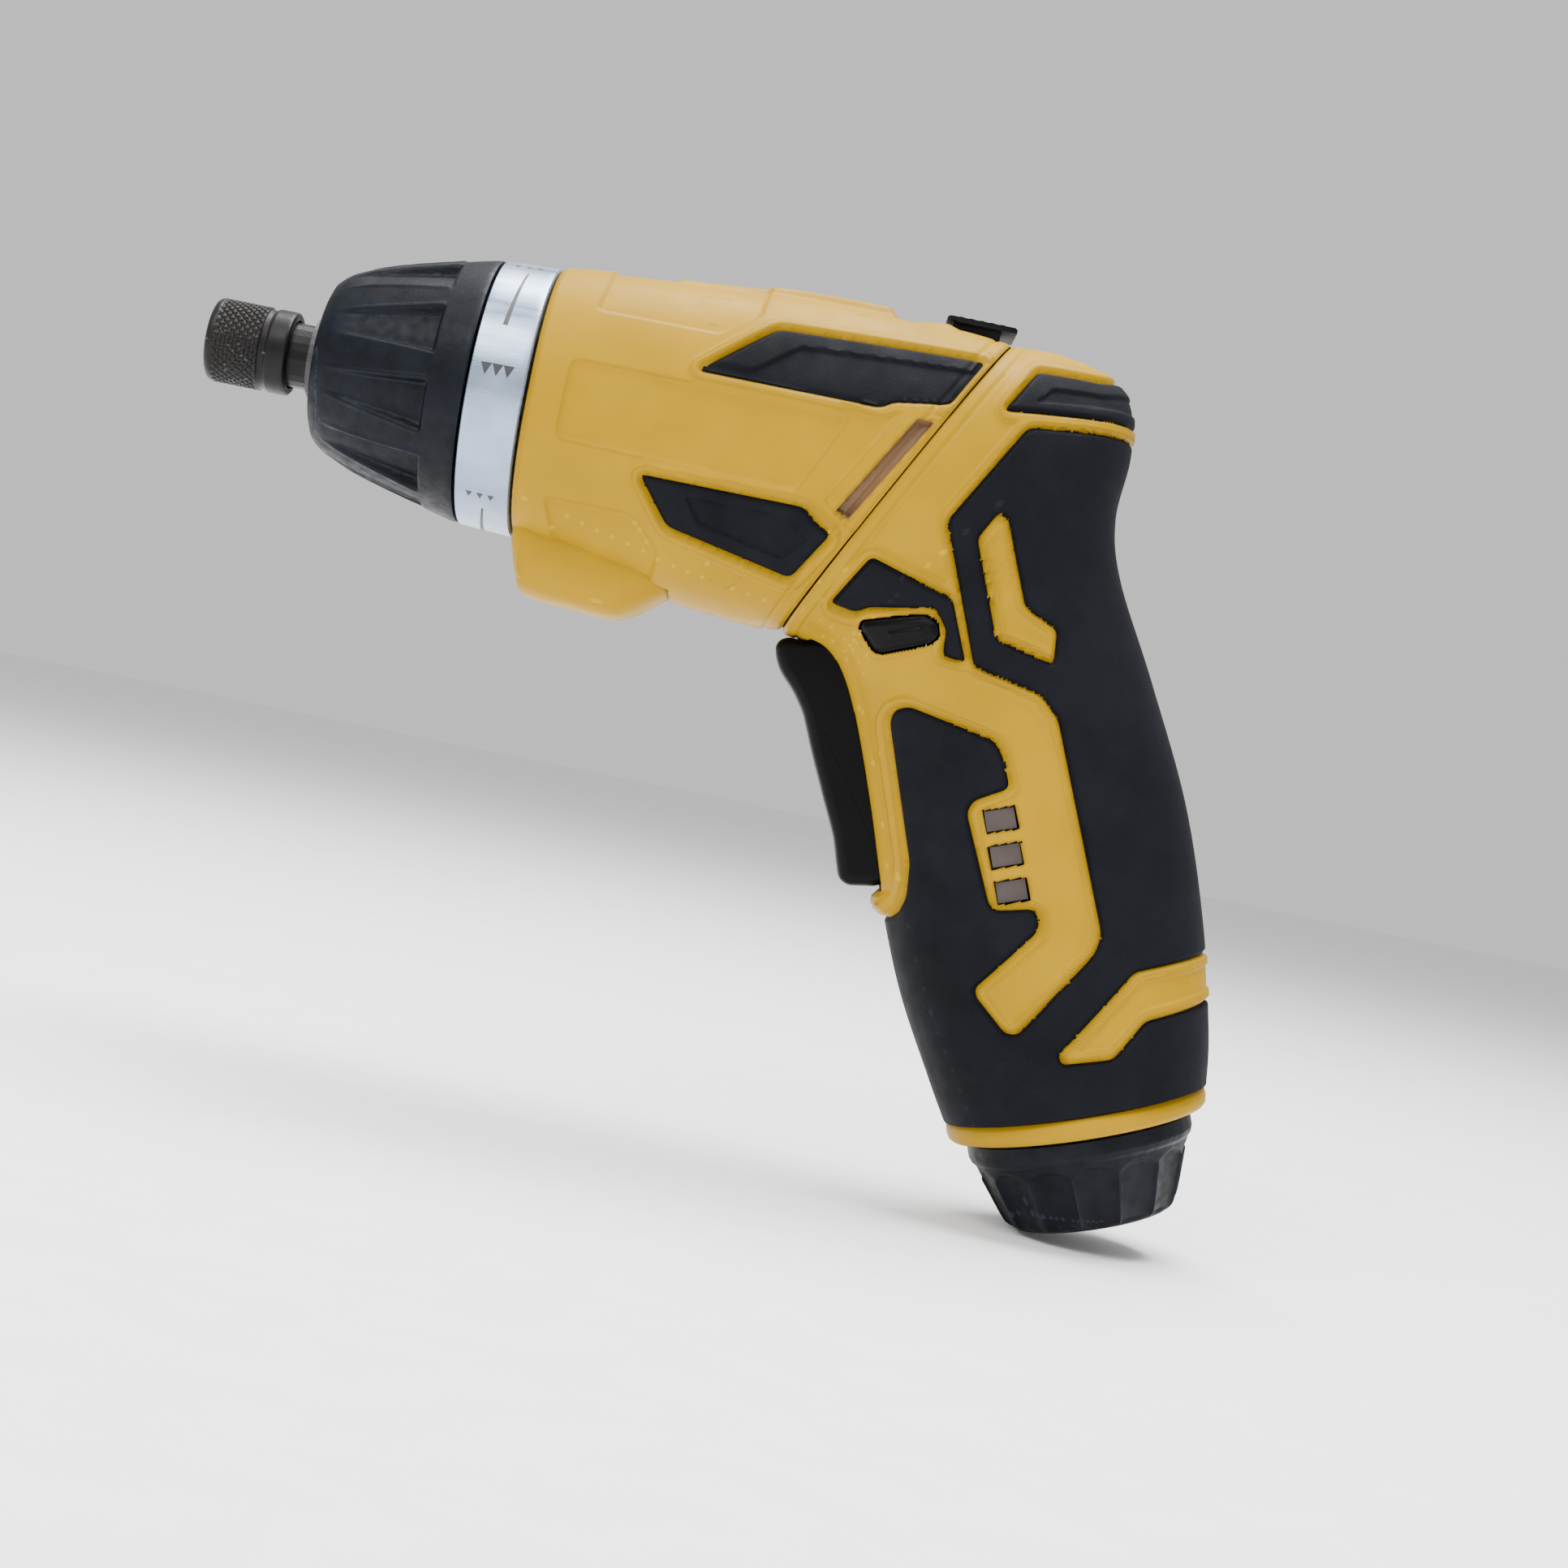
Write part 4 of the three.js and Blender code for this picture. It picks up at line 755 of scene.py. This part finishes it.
def build_handle_skin():
    place = handle_place()
    grid = swept_surface(HANDLE_SECTIONS, SPACING, COLUMNS)
    normal = grid_normals(grid)
    outlines = [rounded(GRIP, PAD_CORNER), rounded(SELECTOR, BUTTON_CORNER)]
    outlines += [rounded(o, INLAY_CORNER) for o in (GRIP_INLAY, REAR_INLAY, SHOULDER, HEEL)]
    outlines += [circle(sx, sz, SCREW_HOLE) for sx, sz, _ in HANDLE_SCREWS]
    grid = snap_to_edges(grid, normal, outlines, SNAP_REACH)
    t, y, z = grid[..., 0], grid[..., 1], grid[..., 2]
    points = grid + normal * handle_height(t, y, z)[..., None]
    points = behind_seam(points, (0, 0), SEAM_ANGLE - LEAN, 1).reshape(-1, 3)
    beside = np.abs(edge_distance(rounded(SELECTOR, BUTTON_CORNER), t, z) + 0.2) < 1.0
    normals = wall_directions(grid, normal, (0, 0), SEAM_ANGLE - LEAN, HANDLE_SCREWS, beside)
    faces = ring_grid(grid)
    ct, cy, cz = grid.reshape(-1, 3)[faces].mean(axis=1).T
    black = black_distance(ct, cz) > 0
    shoulder = edge_distance(rounded(SHOULDER, INLAY_CORNER), ct, cz) > 0
    heel = edge_distance(rounded(HEEL, INLAY_CORNER), ct, cz) > 0
    opening = edge_distance(rounded(SELECTOR, BUTTON_CORNER), ct, cz) > -0.45
    half, top, bottom = TRIGGER_SLOT
    opening |= (ct < -6) & (np.abs(cy) < half) & (cz < top) & (cz > bottom)
    opening |= (screw_distance(HANDLE_SCREWS, ct, cz) < SCREW_HOLE) & (cy > 0)
    window, half_length, half_height = WINDOW
    for row in WINDOW_ROWS:
        opening |= (cy < 0) & (np.abs(ct - window) < half_length) & (np.abs(cz - row) < half_height)
    body = ~(black | shoulder | heel | opening)
    for side, chosen in (("left", cy < 0), ("right", cy > 0)):
        skin_piece(f"handle_skin_{side}", points, normals, faces, body & chosen, "handle",
                   "yellow_body", depth=2.2, place=place, replaces=[f"handle_shell_{side}"])
        skin_piece(f"grip_skin_{side}", points, normals, faces, black & ~opening & chosen, "handle",
                   "black_grip", place=place, replaces=[f"grip_{side}"])
        skin_piece(f"shoulder_skin_{side}", points, normals, faces, shoulder & ~opening & chosen,
                   "handle", "black_grip", place=place, replaces=[f"shoulder_pad_{side}"])
    skin_piece("heel_skin", points, normals, faces, heel & ~opening, "handle",
               "black_grip", place=place, replaces=["heel_pad"])
    pressed = edge_distance(rounded(SELECTOR, BUTTON_CORNER), ct, cz) > 0
    raised = (grid + normal * selector_height(t, z)[..., None]).reshape(-1, 3)
    skin_piece("selector_button", raised, normals, faces, pressed, "selector",
               "gloss_black", depth=3.0, place=place, replaces=["direction_selector"])
    rows = points.reshape(grid.shape)
    build_seam_face("handle_seam_face", rows[0], seam_frame(SEAM_ANGLE - LEAN, (0, 0)), "handle", place)


# ------------------------------------------------------------------ screws on the far side
HEAD_RADIUS = 2.4


def cross_head(radius, angle, top):
    """Height of a domed screw head with a cross recess."""
    u, v = np.abs(radius * np.cos(angle)), np.abs(radius * np.sin(angle))
    arm = np.maximum((u < 0.36) & (v < 1.35), (v < 0.36) & (u < 1.35))
    return top - 0.4 * (radius / HEAD_RADIUS) ** 2 - 0.9 * arm


def build_screw(name, x, z, top, body, place):
    """A recessed screw whose head looks along Y, and the ring-shaped floor of its hole."""
    columns = 72
    angle = np.linspace(0, 2 * np.pi, columns, endpoint=False)
    radii = np.concatenate([np.linspace(0.03, HEAD_RADIUS, 40), [2.6, 2.65, 2.65]])
    radius, turn = np.meshgrid(radii, angle, indexing="ij")
    y = cross_head(radius, turn, top)
    y[-3:] = np.array([top - 0.55, top - 0.8, top - 1.8])[:, None]
    rings = np.stack([x + radius * np.cos(turn), y, z + radius * np.sin(turn)], axis=-1)
    ring_piece(name + "_cross", rings, body, "screw_steel", [name], place, sharp=30)
    seat = np.full(columns, top - 1.3)
    floor = np.stack([np.stack([x + r * np.cos(angle), seat, z + r * np.sin(angle)], axis=-1)
                      for r in (2.3, 3.0, 3.6)])
    ring_piece(name + "_seat", floor, body, "yellow_body", (), place)


def build_screws():
    for i, (x, z, top) in enumerate(HEAD_SCREWS):
        build_screw(f"head_screw_{i + 1}", x, z, top, "head", None)
    for i, (x, z, top) in enumerate(HANDLE_SCREWS):
        build_screw(f"handle_screw_{i + 1}", x, z, top, "handle", handle_place())


# ------------------------------------------------------------------ trigger
TRIGGER = [[-10.6, -66.4], [-14.2, -67.5], [-19.4, -66.5], [-20.7, -65.1], [-20.6, -62.0], [-20.4, -58.0],
           [-21.2, -50], [-21.8, -43.3], [-22.2, -36.1], [-23.2, -32.2], [-25.0, -28.2], [-25.35, -25.6],
           [-25.1, -23.7], [-24.2, -22.8], [-22.6, -22.55], [-20.6, -23.4], [-16.4, -23.65], [-11.8, -26.4],
           [-8.6, -29.8], [-8.2, -36.0], [-10.5, -39.4]]
TRIGGER_HALF = 5.0
TRIGGER_ROUND = 1.9
TRIGGER_STEPS = 24


def even_outline(outline, spacing):
    """The closed outline resampled at even steps."""
    points = rounded(outline, 1.4)
    ring = np.vstack([points, points[:1]])
    length = np.concatenate([[0], np.cumsum(np.linalg.norm(np.diff(ring, axis=0), axis=1))])
    at = np.linspace(0, length[-1], int(length[-1] / spacing), endpoint=False)
    return np.stack([np.interp(at, length, ring[:, k]) for k in range(2)], axis=-1)


def outward(points):
    """Unit normals of a closed outline, pointing out of it."""
    along = np.roll(points, -1, axis=0) - np.roll(points, 1, axis=0)
    normal = np.stack([along[:, 1], -along[:, 0]], axis=-1)
    normal /= np.linalg.norm(normal, axis=1, keepdims=True)
    area = np.sum(points[:, 0] * np.roll(points[:, 1], -1) - points[:, 1] * np.roll(points[:, 0], -1))
    return normal if area > 0 else -normal


def build_trigger():
    place = handle_place()
    points = even_outline(TRIGGER, 0.35)
    normal = outward(points)
    rings = []
    for k in range(TRIGGER_STEPS + 1):
        side = -1 + 2 * k / TRIGGER_STEPS
        y = TRIGGER_HALF * math.sin(side * math.pi / 2)
        edge = max(0.0, abs(y) - (TRIGGER_HALF - TRIGGER_ROUND)) / TRIGGER_ROUND
        inset = TRIGGER_ROUND * (1 - math.sqrt(max(0.0, 1 - edge * edge))) * 0.9 + 0.02
        flat = points - normal * inset
        rings.append(np.stack([flat[:, 0], np.full(len(flat), y), flat[:, 1]], axis=-1))
    grid = np.array(rings)
    faces = [tuple(f) for f in ring_grid(grid)]
    count = len(points)
    faces.append(tuple(range(count)))
    faces.append(tuple(reversed(range(TRIGGER_STEPS * count, (TRIGGER_STEPS + 1) * count))))
    add_piece("trigger_smooth", placed(grid, place), faces, "trigger", "gloss_black", ["trigger"], sharp=60)


# ------------------------------------------------------------------ turned pieces on the spindle line
def smooth_profile(profile, spacing):
    """Points along a profile of [distance along the axis, radius], about the spacing apart."""
    points = [np.array(profile[0], float)]
    for start, end in zip(profile, profile[1:]):
        start, end = np.array(start, float), np.array(end, float)
        count = max(1, int(np.linalg.norm(end - start) / spacing))
        points += [start + (end - start) * (k + 1) / count for k in range(count)]
    return np.array(points)


def curved_profile(anchors, count):
    """A smooth profile through anchor points."""
    anchors = np.asarray(anchors, float)
    return spline(anchors, np.linspace(0, len(anchors) - 1, count))


def revolve_x(profile, columns, change=None):
    """Rings about the spindle line; change(x, radius, angle) gives the final radius. Angle 0 faces -Y."""
    angle = np.linspace(0, 2 * np.pi, columns, endpoint=False)
    x = np.repeat(profile[:, :1], columns, axis=1)
    radius = np.repeat(profile[:, 1:], columns, axis=1)
    angle = np.repeat(angle[None, :], len(profile), axis=0)
    if change is not None:
        radius = change(x, radius, angle)
    return np.stack([x, -radius * np.cos(angle), radius * np.sin(angle)], axis=-1)


FLUTES = 10
POCKET = (9.0, 25.6)


def collar_height(x, radius, angle):
    """Wedge-shaped pockets that widen and deepen rearward and end in a sharp wall."""
    turn = (angle * FLUTES / (2 * np.pi) + 1.0) % 1.0 - 0.5
    along = np.clip((x - POCKET[0]) / (POCKET[1] - POCKET[0]), 0, 1)
    half = 0.20 + 0.12 * along
    deep = 0.35 + 1.55 * along
    across = 1 - step(half - 0.05, half + 0.012, np.abs(turn))
    start = step(POCKET[0] - 2.5, POCKET[0] + 3.5, x)
    end = 1 - step(POCKET[1] - 0.35, POCKET[1] + 0.35, x)
    ridge = 0.22 * np.exp(-(((np.abs(turn) - half - 0.035) / 0.028) ** 2)) * start * end
    return radius - deep * across * start * end + ridge - 0.18


def build_collar():
    nose = [[6.6, 7.5], [4.6, 7.5], [4.3, 8.0], [4.3, 11.8], [4.5, 12.9], [5.0, 14.1]]
    body = curved_profile([[5.0, 14.1], [6.2, 15.2], [8.0, 16.3], [12, 17.9], [18, 19.7], [25.4, 21.6],
                           [30.4, 22.8], [31.6, 23.0]], 150)
    rear = [[31.6, 23.0], [32.0, 22.9], [32.1, 22.4], [32.1, 20.7]]
    profile = np.vstack([smooth_profile(nose, 0.5), body[1:], smooth_profile(rear, 0.5)[1:]])
    rings = revolve_x(profile, 400, collar_height)
    ring_piece("collar_grip", rings, "collar", "black_collar", ["torque_collar"], sharp=60)


def build_scale_ring():
    profile = [[32.5, 20.9], [32.5, 22.7], [32.7, 23.0], [33.2, 23.05], [41.3, 23.45], [41.8, 23.4],
               [42.05, 23.1], [42.05, 20.9], [32.5, 20.9]]
    rings = revolve_x(smooth_profile(profile, 0.7), 180)
    ring_piece("scale_ring", rings, "collar", "scale_silver", ["torque_scale_ring"])
    marks = []
    for turn in range(3):
        base = math.radians(120 * turn)
        marks.append(wedge_mark(base + math.radians(23), base + math.radians(58)))
        for k in range(3):
            marks.append(dot_mark(35.1 + 1.9 * k, base + math.radians(3), 1.0))
            marks.append(dot_mark(35.1 + 1.9 * k, base + math.radians(66), 0.6))
    vertices, faces = [], []
    for points, quads in marks:
        faces += [[i + len(vertices) for i in quad] for quad in quads]
        vertices += points
    add_piece("scale_marks", placed(np.array(vertices), None), faces, "collar", "scale_silver", finish="mark",
              smooth=False)


def on_ring(x, angle, lift):
    """A point on the ring's tapered face, lifted off it."""
    radius = 23.05 + 0.4 * (x - 33.2) / 8.1 + lift
    return [x, -radius * math.cos(angle), radius * math.sin(angle)]


def wedge_mark(first, last):
    """A long tapering stroke round the ring."""
    count = 14
    points, quads = [], []
    for k in range(count + 1):
        w = k / count
        angle = first + (last - first) * w
        x = 36.6 + 0.9 * w
        half = 0.42 - 0.26 * w
        for side in (-1, 1):
            for lift in (-0.1, 0.03):
                points.append(on_ring(x + side * half, angle, lift))
    for k in range(count):
        a = 4 * k
        quads += [[a + 1, a + 3, a + 7, a + 5], [a, a + 1, a + 5, a + 4], [a + 3, a + 2, a + 6, a + 7]]
    quads += [[0, 2, 3, 1], [4 * count + 1, 4 * count + 3, 4 * count + 2, 4 * count]]
    return points, quads


def dot_mark(x, angle, size):
    """A small triangle pointing round the ring."""
    wide, tall = 0.95 * size, 0.045 * size
    corners = [(x - wide, angle + tall), (x + wide, angle + tall), (x, angle - tall)]
    points = [on_ring(u, a, lift) for u, a in corners for lift in (-0.1, 0.03)]
    return points, [[1, 3, 5], [0, 1, 3, 2], [2, 3, 5, 4], [4, 5, 1, 0]]


KNURL_CUTS = 32
KNURL_LENGTH = 1.45


def knurl(x, radius, angle):
    """Crossed spiral cuts that leave small diamonds."""
    zone = step(-14.2, -13.7, x) * (1 - step(-6.7, -6.3, x))
    lead = 2 * np.pi * x / KNURL_LENGTH
    first = np.abs(np.sin((KNURL_CUTS * angle + lead) / 2))
    second = np.abs(np.sin((KNURL_CUTS * angle - lead) / 2))
    return radius - zone * 0.30 * (1 - np.minimum(step(0, 0.75, first), step(0, 0.75, second)))


def build_sleeve():
    profile = [[-10.9, 6.5], [-10.9, 5.3], [-12.6, 5.3], [-12.6, 6.1], [-15.3, 6.1], [-15.5, 6.3],
               [-15.3, 6.75], [-14.9, 7.1], [-14.4, 7.25], [-6.3, 7.25], [-6.0, 6.95], [-5.2, 6.85],
               [-4.9, 7.1], [-4.6, 7.25], [-1.9, 7.25], [-1.5, 7.15], [-1.25, 6.8], [-1.25, 5.95],
               [-1.7, 5.95], [-1.7, 6.5], [-10.9, 6.5]]
    rings = revolve_x(smooth_profile(profile, 0.14), 440, knurl)
    ring_piece("sleeve_knurled", rings, "sleeve", "black_oxide", ["release_sleeve"], sharp=55)


# ------------------------------------------------------------------ end of the handle
CAP_AXIS = 13.7
CAP_FLUTES = 14
CAP_END = -130.1
BAND_SQUEEZE = 0.985        # the handle is a little narrower than it is deep where the band sits


def revolve_z(profile, columns, change=None):
    """Rings about the cap's axis in the handle's frame, from a [z, radius] profile."""
    angle = np.linspace(0, 2 * np.pi, columns, endpoint=False)
    z = np.repeat(profile[:, :1], columns, axis=1)
    radius = np.repeat(profile[:, 1:], columns, axis=1)
    angle = np.repeat(angle[None, :], len(profile), axis=0)
    if change is not None:
        radius = change(z, radius, angle)
    return np.stack([CAP_AXIS + radius * np.cos(angle), -radius * np.sin(angle), z], axis=-1)


def cap_height(z, radius, angle):
    """Broad hollow flutes between thin ridges, arched at the top."""
    turn = (angle * CAP_FLUTES / (2 * np.pi)) % 1.0 - 0.5
    arch = -118.9 - 1.6 * (2 * turn) ** 2
    zone = step(-0.35, 0.35, arch - z) * step(-130.0, -128.6, z)
    hollow = 0.75 * (1 - (np.abs(2 * turn)) ** 2.6)
    ridge = 0.28 * np.exp(-(((np.abs(turn) - 0.5) / 0.035) ** 2))
    return radius - zone * (hollow - ridge)


def build_end():
    place = handle_place()
    profile = np.vstack([
        smooth_profile([[-113.9, 16.9], [-113.9, 19.1], [-114.2, 19.5], [-116.5, 19.5], [-117.4, 19.2],
                        [-118.0, 18.6]], 0.2),
        curved_profile([[-118.0, 18.6], [-121.8, 17.3], [-127.4, 15.3], [-129.15, 14.3], [-129.85, 13.4],
                        [CAP_END, 12.4]], 90)[1:],
        smooth_profile([[CAP_END, 12.4], [CAP_END, 9.0], [-129.9, 8.6], [-129.9, 0.05]], 1.0)[1:]])
    rings = revolve_z(profile, 420, cap_height)
    ring_piece("cap_fluted", rings, "cap", "black_collar", ["end_cap"], place, sharp=50)


def build_end_ring():
    place = handle_place()
    outline = [[-109.7, 17.6], [-109.7, 21.4], [-109.9, 22.1], [-110.5, 22.55], [-111.6, 22.65],
               [-112.7, 22.45], [-113.3, 21.9], [-113.5, 21.2], [-113.5, 17.6], [-109.7, 17.6]]
    rings = revolve_z(smooth_profile(outline, 0.35), 160)
    rings[..., 1] *= BAND_SQUEEZE
    ring_piece("band_yellow", rings, "handle", "yellow_body", ["end_ring"], place)


# ------------------------------------------------------------------ carried-over nodes
def finish_nodes():
    """Every CAD node gets its slot's finish; the lock button, which shows, gets softened edges too."""
    slots = {entry["node"]: entry["material_slot"] for entry in frame["record"]["subparts"]}
    for name, node in frame["nodes"].items():
        material = materials[slots[name]]
        if node.data.materials:
            for i in range(len(node.data.materials)):
                node.material_slots[i].link = "OBJECT"
                node.material_slots[i].material = material
        else:
            node.data.materials.append(material)
    bevel = frame["nodes"]["swivel_lock_button"].modifiers.new("edges", "BEVEL")
    bevel.width = 0.22 * MM
    bevel.segments = 3
    bevel.limit_method = "ANGLE"
    bevel.angle_limit = math.radians(35)


add_camera()
add_studio()
add_floor()
materials = make_materials()
finish_nodes()
build_head_skin()
build_handle_skin()
build_screws()
build_trigger()
build_collar()
build_scale_ring()
build_sleeve()
build_end()
build_end_ring()
